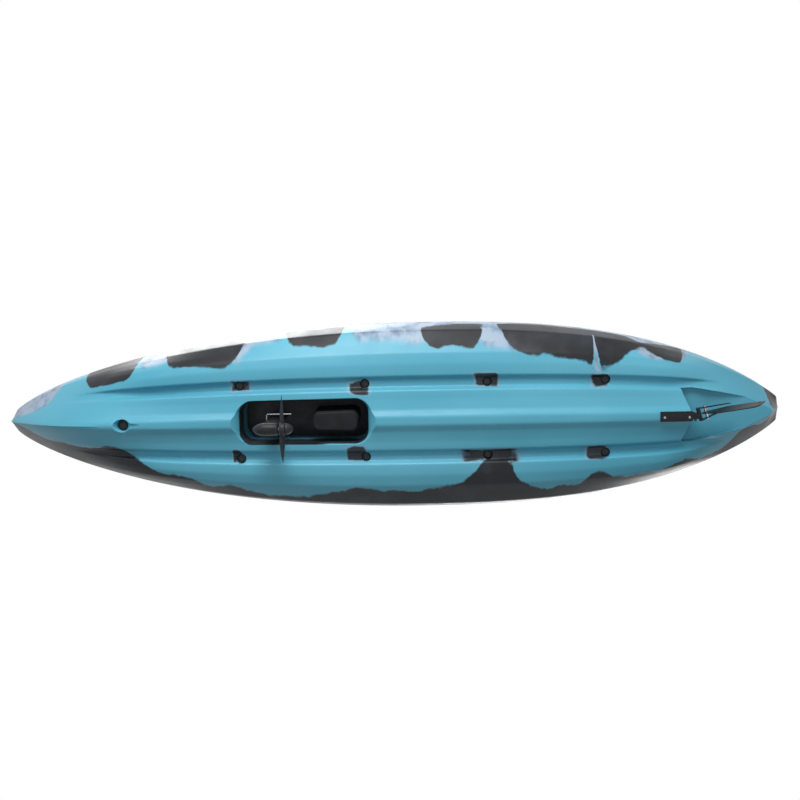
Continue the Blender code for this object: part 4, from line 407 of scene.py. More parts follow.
def sheer(x, fore_start, fore_rise, aft_start, aft_rise):
    """How far a line of the hull has risen from where it leaves the level towards each tip."""
    bow = max(x - fore_start, 0.0) / (HALF_LENGTH - fore_start)
    stern = max(-x - aft_start, 0.0) / (HALF_LENGTH - aft_start)
    return fore_rise * bow ** 2 + aft_rise * stern ** 2


def deck_at(x):
    """The height of the deck's edge."""
    return DECK + sheer(x, 0.8, 0.085, 1.0, 0.06)


def side_at(x):
    """The height of the crease where the bottom meets the side."""
    return max(SIDE_HEIGHT + sheer(x, 0.5, 0.19, 0.7, 0.14), keel_at(x) + 0.012)


def half_section(x):
    """One side of the hull's section, from the keel up to the deck's middle."""
    beam = beam_at(x)
    share = beam / HALF_BEAM
    chine = min(CHINE_HALF * share, beam - 0.002)
    keel = keel_at(x)
    side = side_at(x)
    rise = side - keel
    ends = max(eased((x - 1.05) / 0.5), eased((-x - 1.2) / 0.35))
    crown = 0.034 * max(eased((x - 0.9) / 0.25), eased((-x - 1.4) / 0.2)) * beam / beam_at(1.0)
    lines = ((0.02, 0.0, 0.3), (0.048, 0.0187, 0.38), (0.098, 0.031, 0.46), (0.138, 0.036, 0.58),
             (0.15, CHANNEL, 0.62), (0.19, CHANNEL, 0.7), (0.202, 0.04, 0.74),
             (0.2629, 0.044, 0.82), (0.3279, 0.058, 0.9), (0.3746, 0.083, 0.96))
    points = [(0.0, keel)]
    for half, height, limit in lines:
        y = soft_minimum(half * 1.01 * share ** 0.4, limit * chine)
        plain = (y / chine) ** 1.15
        shaped = height / SIDE_HEIGHT
        points.append((y, keel + rise * (shaped + (plain - shaped) * ends)))
    top = deck_at(x)
    edge = min(GUNWALE_ROUND, beam * 0.3)
    points += [(chine, side), (chine + (beam - chine) * 0.8, side + (top - side) * 0.5),
               (beam, top - edge), (beam - edge * 0.3, top - edge * 0.3), (beam - edge, top),
               (beam - min(0.05, beam * 0.6), top + crown * 0.12), (beam * 0.5, top + crown * 0.8),
               (0.0, top + crown)]
    return points


def rounded_section(x):
    """The section with each corner eased over a few millimetres, as a moulding's corners are."""
    flat = [Vector(point) for point in half_section(x)]
    result = [flat[0]]
    for before, corner, after in zip(flat, flat[1:], flat[2:]):
        reach_in = min(CORNER_EASE, (before - corner).length * 0.45)
        reach_out = min(CORNER_EASE, (after - corner).length * 0.45)
        start = corner + (before - corner).normalized() * reach_in
        end = corner + (after - corner).normalized() * reach_out
        result += bowed(start, corner, end, (0.0, 0.33, 0.67, 1.0))
    return result + [flat[-1]]


def hull_stations(count):
    """Places along the hull, closer together at the two ends, with one on the stern's crease."""
    places = [HALF_LENGTH * sin(pi * (i / count - 0.5)) for i in range(count + 1)]
    for mark in (CREASE_X, TRANSOM_X):
        nearest = min(range(count + 1), key=lambda i: abs(places[i] - mark))
        places[nearest] = mark
    return places


stations = hull_stations(STATION_COUNT)
sections = [rounded_section(x) for x in stations]
across_count = len(sections[0]) - 1
skin = bmesh.new()
bmesh.ops.create_grid(skin, x_segments=STATION_COUNT, y_segments=across_count, size=1)
for vert in skin.verts:
    i = round((vert.co.x + 1) / 2 * STATION_COUNT)
    j = round((vert.co.y + 1) / 2 * across_count)
    vert.co = (stations[i], *sections[i][j])
bmesh.ops.mirror(skin, geom=skin.verts[:] + skin.edges[:] + skin.faces[:], axis="Y",
                 merge_dist=1e-6)
bmesh.ops.remove_doubles(skin, verts=skin.verts[:], dist=1e-6)
bmesh.ops.holes_fill(skin, edges=[edge for edge in skin.edges if edge.is_boundary], sides=0)
hull_piece = in_scene("hull_moulding", mesh_of("hull_moulding", skin))


def plan_outline(corners, radius, grow, steps):
    """A convex plan with its corners rounded and every side moved out by the same amount."""
    path = [Vector(corner) for corner in corners]
    outward = []
    for a, b in zip(path, path[1:] + path[:1]):
        along = (b - a).normalized()
        outward.append(Vector((along.y, -along.x)))
    outline = []
    for i, corner in enumerate(path):
        before = outward[i - 1]
        after = outward[i]
        centre = corner - (before + after) * radius / (1 + before.dot(after))
        start = atan2(before.y, before.x)
        sweep = (atan2(after.y, after.x) - start) % tau
        for step in range(steps + 1):
            angle = start + sweep * step / steps
            outline.append(centre + (radius + grow) * Vector((cos(angle), sin(angle))))
    return outline


def stacked(mesh, rings):
    """Skins rings with as many points each, point to point, and closes both ends."""
    loops = []
    for ring in rings:
        made = bmesh.ops.create_circle(mesh, cap_ends=False, segments=len(ring), radius=1)["verts"]
        for vert, place in zip(made, ring):
            vert.co = place
        loops.append(made)
    for lower, upper in zip(loops, loops[1:]):
        for i in range(len(lower)):
            mesh.faces.new((lower[i - 1], lower[i], upper[i], upper[i - 1]))
    for loop in (loops[0], loops[-1]):
        mesh.faces.new(loop)


def plan_stack(mesh, corners, radius, levels, steps=10):
    """Skins plan outlines at heights. Each level is its height and how far its sides move out."""
    stacked(mesh, [[(*point, height) for point in plan_outline(corners, radius, grow, steps)]
                   for height, grow in levels])


def rectangle(aft, fore, half_aft, half_fore):
    """A plan with straight ends, its corners in order."""
    return [(aft, -half_aft), (fore, -half_fore), (fore, half_fore), (aft, half_aft)]


def well_levels(floor, draft, rim):
    """A moulded well's wall: a rounded foot, a leaning side and a rounded rim."""
    turns = [t * pi / 2 for t in (0.0, 0.25, 0.5, 0.75, 1.0)]
    foot = [(floor + WELL_FOOT * (1 - cos(turn)), -draft - WELL_FOOT * (1 - sin(turn)))
            for turn in turns]
    lip = [(DECK - rim + rim * sin(turn), -0.006 + rim * (1 - cos(turn))) for turn in turns]
    return foot + lip + [(DECK + 0.2, lip[-1][1])]


def settled(piece):
    """Applies a piece's modifiers to its mesh."""
    bpy.context.view_layer.update()
    graph = bpy.context.evaluated_depsgraph_get()
    data = bpy.data.meshes.new_from_object(piece.evaluated_get(graph))
    piece.modifiers.clear()
    piece.data = data


def carved(target, cutter, hole_name):
    """Cuts the cutter's shape out of the target."""
    tool = in_scene(hole_name, plain_mesh(hole_name, cutter))
    change = target.modifiers.new(hole_name, "BOOLEAN")
    change.operation = "DIFFERENCE"
    change.solver = "EXACT"
    change.object = tool
    settled(target)
    bpy.data.objects.remove(tool)


COCKPIT_FLOOR = 0.12
TANK_FLOOR = 0.165
SCUPPER_Y = 0.168
SCUPPERS = [(x, y, floor_height) for x, floor_height in (
    (0.711, COCKPIT_FLOOR), (0.139, COCKPIT_FLOOR), (-0.42, COCKPIT_FLOOR), (-0.96, TANK_FLOOR))
    for y in (-SCUPPER_Y, SCUPPER_Y)]
WELL_AFT = 0.128
WELL_FORE = 0.71
DRAIN_X = -1.445
HATCH_SEAT = 0.312
HATCH_CORNER = 0.045
HATCH_PLAN = rectangle(1.08, 1.45, 0.15, 0.093)

COCKPIT_HALF = 0.345
cockpit_side = [(0.93, 0.64 * COCKPIT_HALF), (0.33, COCKPIT_HALF), (-0.32, COCKPIT_HALF),
                (-0.58, 0.86 * COCKPIT_HALF)]
cockpit_plan = [(x, -y) for x, y in cockpit_side[::-1]] + cockpit_side
tub = bmesh.new()
plan_stack(tub, cockpit_plan, 0.075, well_levels(COCKPIT_FLOOR, 0.045, 0.01), 8)
cockpit_tool = in_scene("cockpit_space", mesh_of("cockpit_space", tub))
island = bmesh.new()
plan_stack(island, rectangle(0.076, 0.762, 0.118, 0.118), 0.045,
           ((0.05, 0.028), (0.121, 0.024), (0.126, 0.016), (0.134, 0.01), (0.27, 0.0),
            (0.279, -0.002), (0.2835, -0.006), (0.285, -0.012)), 8)
carved(cockpit_tool, island, "console")

upper_tools = bmesh.new()
upper_tools.from_mesh(cockpit_tool.data)
bpy.data.objects.remove(cockpit_tool)
plan_stack(upper_tools, rectangle(-1.38, -0.76, 0.151, 0.275), 0.06,
           well_levels(TANK_FLOOR, 0.024, 0.008), 8)
plan_stack(upper_tools, rectangle(1.08, 1.505, 0.15, 0.125), HATCH_CORNER,
           ((HATCH_SEAT, 0.026), (0.46, 0.026)), 8)
tunnel_side = [(-1.771, -0.046), (-1.355, -0.128), (-1.3, -0.1254), (TRANSOM_X, -0.0322)]
tunnel_plan = tunnel_side + [(x, -y) for x, y in tunnel_side[::-1]]
tunnel_roof = [(x, y * 0.94, 0.1 + 0.0936 * (TRANSOM_X - x)) for x, y in tunnel_plan]
stacked(upper_tools, [[(x, y * 1.2, -0.1) for x, y in tunnel_plan], tunnel_roof])
carved(hull_piece, upper_tools, "wells_and_tunnel")

through_tools = bmesh.new()
flare = [(-0.05, 0.058)]
flare += [(-0.004 + 0.064 * rise, 0.042 * (1 - rise) ** 2.0)
          for rise in (t / 12 for t in range(13))]
plan_stack(through_tools, rectangle(WELL_AFT, WELL_FORE, 0.1, 0.0925), 0.058, flare + [(0.35, 0.0)],
           10)
plan_stack(through_tools, HATCH_PLAN, HATCH_CORNER,
           ((0.11, -0.034), (0.112, -0.028), (0.118, -0.024), (0.126, -0.021), (0.33, 0.0)), 8)
for x, y, floor_height in SCUPPERS:
    spun(through_tools, (x, y, 0), UP,
         ((-0.05, 0.022), (floor_height - 0.004, 0.022), (floor_height + 0.001, 0.025),
          (floor_height + 0.03, 0.026)), 40)
spun(through_tools, (DRAIN_X, 0, 0.32), UP, ((-0.03, 0.013), (0.03, 0.013)), 40)
carved(hull_piece, through_tools, "through_openings")

FOOT_X = 0.015
FOOT_Y = 0.022
FOOT_PLAY = 0.002
HANDLE_HALF = 0.065
END_HANDLES = (("bow_handle", 1.64, 0.36324, 0.37478), ("stern_handle", -1.6, 0.35113, 0.33734))
FORE_SCUPPER_X = 1.242
ROD_LEAN = tan(radians(24))
ROD_X = -0.668
ROD_Y = 0.3


def leaned_aft(shape, side):
    """Moves a turned shape to its rod holder's place and leans it aft."""
    for vert in shape:
        vert.co.x += ROD_X + (DECK - vert.co.z) * ROD_LEAN
        vert.co.y += side * ROD_Y


def flat_seat(mesh, x, half_x, half_y, height):
    """A level seat that is let into the curved deck for a fitting's foot."""
    plan_stack(mesh, rectangle(x - half_x, x + half_x, half_y, half_y), 0.004,
               ((height, 0), (height + 0.05, 0.006)), 4)


small_tools = bmesh.new()
spun(small_tools, (FORE_SCUPPER_X, 0, 0), UP,
     ((-0.05, 0.052), (0.0, 0.04), (0.009, 0.0335), (0.02, 0.028), (0.03, 0.0252), (0.13, 0.025)),
     48)
for side in (-1, 1):
    hole = spun(small_tools, (0, 0, 0), UP, ((DECK - 0.17, 0.0245), (DECK + 0.02, 0.0245)), 40)
    leaned_aft(hole, side)
bores = (((-0.028, 0, COCKPIT_FLOOR), 0.072, 0.04), ((0.33, 0.378, DECK), 0.0045, 0.03),
         ((0.092, 0, 0.285), 0.006, 0.024))
for spot, radius, depth in bores:
    spun(small_tools, spot, UP, ((-depth, radius), (0.02, radius)), 40)
spun(small_tools, (TRANSOM_X - 0.02, -0.026, 0.064), (1, 0, 0), ((0, 0.0045), (0.06, 0.0045)), 24)
for name, middle, aft_seat, fore_seat in END_HANDLES:
    for x, height in ((middle - HANDLE_HALF, aft_seat), (middle + HANDLE_HALF, fore_seat)):
        flat_seat(small_tools, x, FOOT_X + FOOT_PLAY, FOOT_Y + FOOT_PLAY, height)
carved(hull_piece, small_tools, "drilled_holes")

tail_tool = bmesh.new()
tail_mouth = [(x, y, -0.05) for x, y in rectangle(1.147, 1.246, 0.013, 0.03)]
tail_end = [(x, y, 0.018 if x > 1.2 else 0.001) for x, y in rectangle(1.16, 1.246, 0.005, 0.0165)]
stacked(tail_tool, [tail_mouth, tail_end])
carved(hull_piece, tail_tool, "scupper_tail")
drain_pad = bmesh.new()
flat_seat(drain_pad, DRAIN_X, 0.02, 0.02, 0.32)
carved(hull_piece, drain_pad, "drain_pad")

# The moulder's powders, with painted light laid into the same fields. Each border line gives, at
# places along the boat, how far out the border lies as a share of the half-breadth. Past 1 there is
# none. The pale patch forward of 1.5 m on the port bow is a painted highlight.
PORT_SLATE = ((-1.83, 0.0), (-1.745, 0.0), (-1.735, 1.4), (-1.37, 1.4), (-1.33, 0.72),
              (-1.25, 0.74), (-1.15, 0.9), (-1.07, 0.79), (-0.99, 0.62), (-0.92, 0.57),
              (-0.85, 0.62), (-0.75, 0.65), (-0.66, 0.67), (-0.57, 0.71), (-0.48, 0.86),
              (-0.43, 1.4), (-0.4, 0.74), (-0.34, 0.72), (-0.25, 0.77), (-0.17, 0.74),
              (-0.12, 0.84), (-0.09, 1.4), (0.21, 1.4), (0.23, 0.84), (0.31, 0.79), (0.43, 0.8),
              (0.5, 0.85), (0.53, 1.4), (0.66, 1.4), (0.69, 0.84), (0.76, 0.63), (0.82, 0.7),
              (0.94, 0.75), (1.05, 0.74), (1.09, 1.4), (1.16, 1.4), (1.2, 0.74), (1.33, 0.68),
              (1.44, 0.68), (1.47, 1.4), (1.81, 1.4), (1.82, 0.0), (1.83, 0.0))
STARBOARD_SLATE = ((-1.83, 0.0), (-1.745, 0.0), (-1.735, 0.5), (-1.66, 0.4), (-1.59, 0.46),
                   (-1.55, 0.75), (-1.41, 0.81), (-1.35, 0.7), (-1.25, 0.78), (-1.19, 0.81),
                   (-1.12, 0.76), (-1.02, 0.77), (-0.92, 0.61), (-0.83, 0.81), (-0.77, 0.74),
                   (-0.68, 0.81), (-0.56, 0.7), (-0.525, 0.54), (-0.505, 0.36), (-0.395, 0.36),
                   (-0.37, 0.54), (-0.29, 0.68), (-0.17, 0.72), (0.0, 0.77), (0.07, 0.77),
                   (0.18, 0.72), (0.36, 0.84), (0.54, 0.86), (0.66, 0.86), (0.79, 0.76),
                   (0.87, 0.85), (0.96, 0.72), (1.08, 0.72), (1.17, 0.57), (1.24, 0.48),
                   (1.31, 0.32), (1.37, 0.45), (1.5, 0.48), (1.67, 0.49), (1.75, 0.22), (1.83, 0.0))
# Pale powder, and forward of 1.5 m a painted highlight that stands in for the light on the port
# bow.
PORT_PALE_AND_BOW_HIGHLIGHT = ((-1.83, 1.4), (-1.4, 1.4), (-1.37, 0.8), (-1.15, 0.72), (-1.06, 0.9), (-1.0, 1.4),
             (-0.91, 1.4), (-0.63, 1.4), (-0.6, 0.7), (-0.48, 0.72), (-0.37, 0.74), (-0.33, 1.4),
             (-0.2, 1.4), (-0.16, 0.8), (-0.02, 0.77), (0.09, 0.8), (0.2, 0.84), (0.26, 1.4),
             (0.44, 1.4), (0.49, 0.93), (0.66, 0.86), (0.71, 0.66), (0.75, 0.6), (0.8, 1.4),
             (0.98, 1.4), (1.03, 0.8), (1.19, 0.84), (1.25, 1.4), (1.5, 1.4), (1.62, 0.55),
             (1.73, 0.32), (1.83, 0.3))
CHANNEL_MARKS = ((0.7, 0.168, 0.06), (0.17, 0.15, 0.055), (-0.41, 0.176, 0.06),
                 (-0.93, 0.166, 0.046), (0.728, -0.152, 0.026), (0.182, -0.15, 0.045),
                 (-0.42, -0.17, 0.135), (-0.915, -0.165, 0.05))
border = bmesh.new()
border.from_mesh(hull_piece.data)
slate = border.verts.layers.float.new("slate")
pale = border.verts.layers.float.new("pale")


def along_boat(line, x):
    """The value of a border line at a place along the boat."""
    for (fore_x, fore), (aft_x, aft) in zip(line, line[1:]):
        if x <= aft_x:
            return fore + (aft - fore) * max(x - fore_x, 0.0) / (aft_x - fore_x)
    return line[-1][1]


def past_border(line, x, share):
    """How far a place lies past a border line, from -1 to 1. The powders melt over 60 mm."""
    total = 0.0
    for step in (-0.03, -0.015, 0.0, 0.015, 0.03):
        total += max(min((share - along_boat(line, x + step)) * 4, 1.0), -1.0)
    return total / 5


for vert in border.verts:
    x, y, z = vert.co
    share = abs(y) / beam_at(x)
    inside = past_border(PORT_SLATE if y > 0 else STARBOARD_SLATE, x, share)
    paler = past_border(PORT_PALE_AND_BOW_HIGHLIGHT, x, share) if y > 0 else -1.0
    if z < 0.09:
        for mark_x, mark_y, reach in CHANNEL_MARKS:
            away = max(abs(x - mark_x) / reach, abs(y - mark_y) / 0.034)
            inside = max(inside, (1 - away) * 0.6 - 0.1)
            paler = max(paler, (1 - away) * 0.8)
    # Painted shade: inside the drive well the walls turn slate from just above the bottom upwards,
    # standing in for the shade in the deep well.
    past_end = max(abs(x - (WELL_AFT + WELL_FORE) / 2) - (WELL_FORE - WELL_AFT) / 2 + 0.058, 0.0)
    past_side = max(abs(y) - 0.04, 0.0)
    if z < 0.284 and hypot(past_end, past_side) < 0.062:
        inside = max(inside, (z - 0.026) * 40)
    # Painted highlight: on the port side wall the part above a wavy line is painted pale lavender,
    # and aft of 1 m the slate stops below that line, standing in for the light along the upper
    # side.
    up_side = (z - side_at(x)) / (deck_at(x) - side_at(x))
    lit_port_side = y > beam_at(x) * 0.9 and z < deck_at(x) - 0.003
    highlight_edge = 0.54 + 0.13 * sin(6.7 * x) + 0.06 * sin(17.1 * x)
    if lit_port_side and x < 1.0:
        inside = min(inside, (highlight_edge - up_side) * 6)
    if y < -beam_at(x) * 0.9 and abs(x) < 1.55:
        scallop = 0.66 + 0.24 * sin(3.4 * x + 0.8) + 0.1 * sin(9.7 * x)
        inside = min(inside, (scallop - up_side) * 5)
        paler = max(paler, min((up_side - scallop) * 4 + 0.5 * sin(5.3 * x), 0.8))
    if y > 0.2 and abs(x + 0.942 - share * 0.03) < 0.012 and share < 0.97:
        inside = -0.25
        paler = 0.7
    vert[slate] = max(min(inside, 1.0), -1.0)
    # Painted highlight on the port side wall, above the wavy line.
    if lit_port_side:
        paler = max(paler, min((up_side - highlight_edge + 0.1) * 6, 0.8))
    vert[pale] = max(paler, -1.0)
bmesh.ops.recalc_face_normals(border, faces=border.faces[:])
border.to_mesh(hull_piece.data)
border.free()
hull_piece.data.shade_smooth()
hull_piece.data.set_sharp_from_angle(angle=radians(38))


def rotomoulded():
    """The camouflage. Its borders are listed for the bottom and come from noise on the deck."""
    # Besides the powders, the slate and pale fields carry painted highlights on the port side wall
    # and bow and painted shade in the drive well.
    finish, shader, place = new_finish("rotomoulded_camouflage_and_painted_light", TURQUOISE, 0.36)
    shader.inputs["Specular IOR Level"].default_value = 0.3
    height = node_with(place, "ShaderNodeSeparateXYZ", {"Vector": place}).outputs["Z"]
    ragged = maths("SUBTRACT", grain(place, 7.0, 5.0), 0.5)
    fine = maths("SUBTRACT", grain(place, 34.0, 4.0), 0.5)
    wander = maths("ADD", maths("MULTIPLY", ragged, 0.75), maths("MULTIPLY", fine, 0.12))
    slate_and_shade_field = node_with(place, "ShaderNodeAttribute", {}, attribute_name="slate").outputs["Fac"]
    pale_and_highlight_field = node_with(place, "ShaderNodeAttribute", {}, attribute_name="pale").outputs["Fac"]
    on_deck = ramp(height, 0.292, 0.306)
    blotch = grain(place, 2.6, 4.0, (1.0, 1.5, 1.0))
    deck_slate = ramp(maths("ADD", blotch, maths("MULTIPLY", fine, 0.06)), 0.56, 0.58)
    swirl = grain(place, 3.1, 5.0, (1.4, 0.9, 1.0))
    deck_pale = ramp(swirl, 0.565, 0.625)
    pale_and_highlight_share = ramp(maths("ADD", pale_and_highlight_field, wander), -0.1, 0.34)
    pale_and_highlight_share = maths("MAXIMUM", pale_and_highlight_share, maths("MULTIPLY", deck_pale, on_deck))
    slate_and_shade_share = ramp(maths("ADD", slate_and_shade_field, wander), -0.05, 0.08)
    slate_and_shade_share = maths("MAXIMUM", slate_and_shade_share, maths("MULTIPLY", deck_slate, on_deck))
    base = blended(ramp(grain(place, 1.7, 3.0, (0.4, 1, 1)), 0.35, 0.65), TURQUOISE,
                   TURQUOISE_LIGHT)
    cloud = ramp(grain(place, 5.0, 6.0), 0.4, 0.75)
    dark = blended(cloud, SLATE, SLATE_LIGHT)
    smoke = blended(ramp(grain(place, 9.0, 6.0, (1.6, 1, 1)), 0.42, 0.66), LAVENDER, LAVENDER_DEEP)
    mixed = blended(maths("MULTIPLY", pale_and_highlight_share, 0.92), base, smoke)
    wired(shader, "Base Color", blended(slate_and_shade_share, mixed, dark))
    scuffs = grain(place, 60.0, 4.0, (0.08, 1.0, 1.0))
    near_keel = ramp(height, 0.03, 0.0)
    worn = maths("MULTIPLY", near_keel, ramp(scuffs, 0.5, 0.7))
    sheen = maths("MULTIPLY", worn, 0.22)
    wired(shader, "Roughness",
          maths("ADD", sheen, ramp(grain(place, 12.0, 3.0), 0.3, 0.7, 0.33, 0.41)))
    skin = grain(place, 420.0, 2.0)
    embossed(shader, maths("ADD", skin, maths("MULTIPLY", worn, 0.6)), 0.00022)
    return finish


camouflage = rotomoulded()
hull_piece.data.materials.clear()
hull_piece.data.materials.append(camouflage)
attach(hull_piece, "hull")
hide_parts("hull")


# Scupper plugs
# A plug of soft black rubber is pressed into each scupper from the deck side. It is turned,
# with three ribs that grip the tube and a flange that stops it.

def rubber():
    """A dull black, a little paler where it blooms."""
    finish, shader, place = new_finish("soft_rubber", (0.016, 0.016, 0.017), 0.62)
    bloom = ramp(grain(place, 38.0, 4.0), 0.35, 0.75)
    wired(shader, "Base Color", blended(bloom, (0.012, 0.012, 0.013), (0.03, 0.03, 0.032)))
    embossed(shader, grain(place, 700.0, 2.0), 0.00012)
    return finish


soft_rubber = rubber()
plugs = bmesh.new()
for x, y, floor_height in SCUPPERS:
    spun(plugs, (x, y, CHANNEL + 0.01), UP,
         ((0, 0.017), (0.003, 0.0205), (0.01, 0.0215), (0.016, 0.02), (0.024, 0.0216),
          (floor_height - 0.083, 0.0214), (floor_height - 0.0725, 0.0218),
          (floor_height - 0.072, 0.026), (floor_height - 0.069, 0.027),
          (floor_height - 0.067, 0)), 36)
spun(plugs, (FORE_SCUPPER_X, 0, 0.04), UP,
     ((0, 0.02), (0.004, 0.0235), (0.012, 0.0246), (0.02, 0.0236), (0.05, 0.0246), (0.0695, 0.0247),
      (0.0705, 0.03), (0.074, 0.03), (0.076, 0)), 40)
placed("scupper_plugs", plugs, soft_rubber, "hull", smooth_below=60)


# Moulded black fittings
# The small fittings are injection moulded in black nylon with a fine spark-eroded grain, and
# their edges are eased by half a millimetre. The gear rails are extruded aluminium. Screws hold
# them to the deck.

SHARP_EDGE = radians(28)


def eased_copy(name, node, finish, body, width, segments=2):
    """Stands in for a CAD node with a copy of its mesh, its faces joined and its edges eased."""
    made = bmesh.new()
    made.from_mesh(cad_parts[node].data)
    bmesh.ops.remove_doubles(made, verts=made.verts[:], dist=2e-5)
    bmesh.ops.dissolve_limit(made, angle_limit=radians(1), verts=made.verts[:], edges=made.edges[:])
    sharp = [edge for edge in made.edges
             if len(edge.link_faces) == 2 and edge.calc_face_angle(0) > SHARP_EDGE]
    bmesh.ops.bevel(made, geom=sharp, offset=width, offset_type="OFFSET", affect="EDGES",
                    segments=segments, profile=0.5, material=-1, clamp_overlap=True)
    placed(name, made, finish, body, node, smooth_below=32)


def moulded(name, colour, fleck, roughness, grain_size=900.0, grain_depth=0.0001):
    """A moulded finish with flow marks, a fine grain and places polished by use."""
    finish, shader, place = new_finish(name, colour, roughness)
    shader.inputs["Specular IOR Level"].default_value = 0.25
    flow = ramp(grain(place, 22.0, 3.0), 0.3, 0.75)
    wired(shader, "Base Color", blended(flow, colour, fleck))
    worn = ramp(grain(place, 9.0, 5.0), 0.3, 0.75, roughness - 0.05, roughness + 0.08)
    wired(shader, "Roughness", worn)
    embossed(shader, grain(place, grain_size, 2.0), grain_depth)
    return finish


def metal(name, colour, roughness, brush_along=(0.05, 1, 1)):
    """A bright metal with fine lines left by brushing along one axis."""
    finish, shader, place = new_finish(name, colour, roughness, 1.0)
    lines = grain(place, 520.0, 3.0, brush_along)
    dark = tuple(value * 0.78 for value in colour)
    wired(shader, "Base Color", blended(ramp(lines, 0.3, 0.7), dark, colour))
    wired(shader, "Roughness", ramp(lines, 0.3, 0.7, roughness - 0.06, roughness + 0.12))
    embossed(shader, lines, 0.00005)
    return finish


black_nylon = moulded("black_nylon", (0.018, 0.018, 0.02), (0.034, 0.034, 0.037), 0.42)
glass_nylon = moulded("glass_filled_nylon", (0.012, 0.012, 0.013), (0.026, 0.026, 0.028), 0.34,
                      500.0, 0.00008)
# Black nylon for the fairing tray, made darker than the other black parts as painted shade for the
# deep drive well it closes.
fairing_black_and_shade = moulded("fairing_black_and_shade", (0.0035, 0.0035, 0.0045), (0.009, 0.009, 0.011), 0.55)
stainless = metal("stainless_steel", (0.6, 0.6, 0.62), 0.26)
anodised = metal("anodised_aluminium", (0.5, 0.51, 0.53), 0.34)


def dressed(node, finish):
    """Gives a CAD node that keeps its shape its finish."""
    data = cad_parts[node].data
    data.materials.clear()
    data.materials.append(finish)


for word in ("port", "starboard"):
    for name in ("side_handle_bracket_" + word, "bungee_strip_" + word):
        eased_copy(name + "_eased", name, black_nylon, "hull", 0.0005)
    eased_copy("gear_rail_track_" + word, "gear_rail_" + word, anodised, "hull", 0.0004)
eased_copy("bow_hatch_hinge_eased", "bow_hatch_hinge", black_nylon, "hull", 0.0005)
dressed("steering_cable", soft_rubber)
dressed("cable_gland", black_nylon)
dressed("bow_hatch_gasket", soft_rubber)


# Carrying handles
# Each end has a grip of black nylon on two bolted feet. A steel bail with a rubber grip folds
# down on each side deck.

SIDES = (("port", 1), ("starboard", -1))
HANDLE_RISE = 0.032
FOOT_GAP = 0.0003
BAIL_Y = 0.402
BAIL_DROP = 0.044


def bolt_head(mesh, base, direction, radius, rise):
    """A round screw head with a hexagon socket."""
    spun(mesh, base, direction,
         ((-0.001, radius), (rise * 0.6, radius), (rise * 0.9, radius * 0.86),
          (rise, radius * 0.62), (rise, radius * 0.42), (rise * 0.35, radius * 0.4)), 24)


def rounded_block(mesh, low, high, radius, segments=3):
    """A block between two corners, with every edge rounded."""
    made = bmesh.ops.create_cube(mesh, size=1)["verts"]
    low, high = Vector(low), Vector(high)
    bmesh.ops.scale(mesh, vec=high - low, verts=made)
    bmesh.ops.translate(mesh, vec=(low + high) / 2, verts=made)
    edges = list(dict.fromkeys(edge for vert in made for edge in vert.link_edges))
    bmesh.ops.bevel(mesh, geom=edges, offset=radius, affect="EDGES", segments=segments, profile=0.5,
                    material=-1)


def swept(mesh, points, radius, sides):
    """A round bar along a line, made of one closed skin."""
    path = [Vector(point) for point in points]
    side = None
    rings = []
    for i, point in enumerate(path):
        tangent = (path[min(i + 1, len(path) - 1)] - path[max(i - 1, 0)]).normalized()
        if side is None:
            side = tangent.orthogonal().normalized()
        side = (side - tangent * side.dot(tangent)).normalized()
        other = tangent.cross(side)
        rings.append([point + radius * (cos(a) * side + sin(a) * other)
                      for a in (tau * k / sides for k in range(sides))])
    stacked(mesh, rings)


for name, middle, aft_seat, fore_seat in END_HANDLES:
    grip = bmesh.new()
    heads = bmesh.new()
    feet = [Vector((middle - HANDLE_HALF, 0, aft_seat + FOOT_GAP)),
            Vector((middle + HANDLE_HALF, 0, fore_seat + FOOT_GAP))]
    top = max(aft_seat, fore_seat) + FOOT_GAP + HANDLE_RISE
    inner = 2 * HANDLE_HALF * 0.22
    root = Vector((0, 0, 0.0087))
    bend = [feet[0] + root, (middle - inner, 0, top), (middle + inner, 0, top), feet[1] + root]
    swept(grip, filleted(bend, 0.03, 10), 0.0088, 20)
    for foot in feet:
        rounded_block(grip, (foot.x - FOOT_X, -FOOT_Y, foot.z),
                      (foot.x + FOOT_X, FOOT_Y, foot.z + 0.008), 0.0024)
        for side in (-1, 1):
            bolt_head(heads, (foot.x, side * 0.016, foot.z + 0.008), UP, 0.0042, 0.003)
    placed(name + "_grip", grip, black_nylon, "hull", name)
    placed(name + "_bolts", heads, stainless, "hull")

for word, side in SIDES:
    y = side * BAIL_Y
    inboard = y - side * BAIL_DROP
    z = DECK + 0.0115
    bail = [(0.043, y, z), (0.055, y, z), (0.055, inboard, z), (0.205, inboard, z), (0.205, y, z),
            (0.217, y, z)]
    rods = bmesh.new()
    swept(rods, filleted(bail, 0.012, 8), 0.0038, 16)
    body = "side_handle_" + word
    placed(body + "_bail", rods, stainless, body, body, smooth_below=60)
    sleeve = bmesh.new()
    ribs = [(0, 0.0075), (0.002, 0.0088)]
    for k in range(1, 11):
        ribs += [(k * 0.01 - 0.002, 0.0088), (k * 0.01, 0.0078), (k * 0.01 + 0.002, 0.0088)]
    ribs += [(0.108, 0.0088), (0.11, 0.0075)]
    spun(sleeve, (0.075, inboard, z), (1, 0, 0), ribs, 24)
    placed(body + "_grip", sleeve, soft_rubber, body, smooth_below=60)


# Rod holders, drain plug and round hatch
# These are turned shapes in black nylon. The rod holders lean aft, and the round hatch screws
# into its ring in the cockpit's floor.

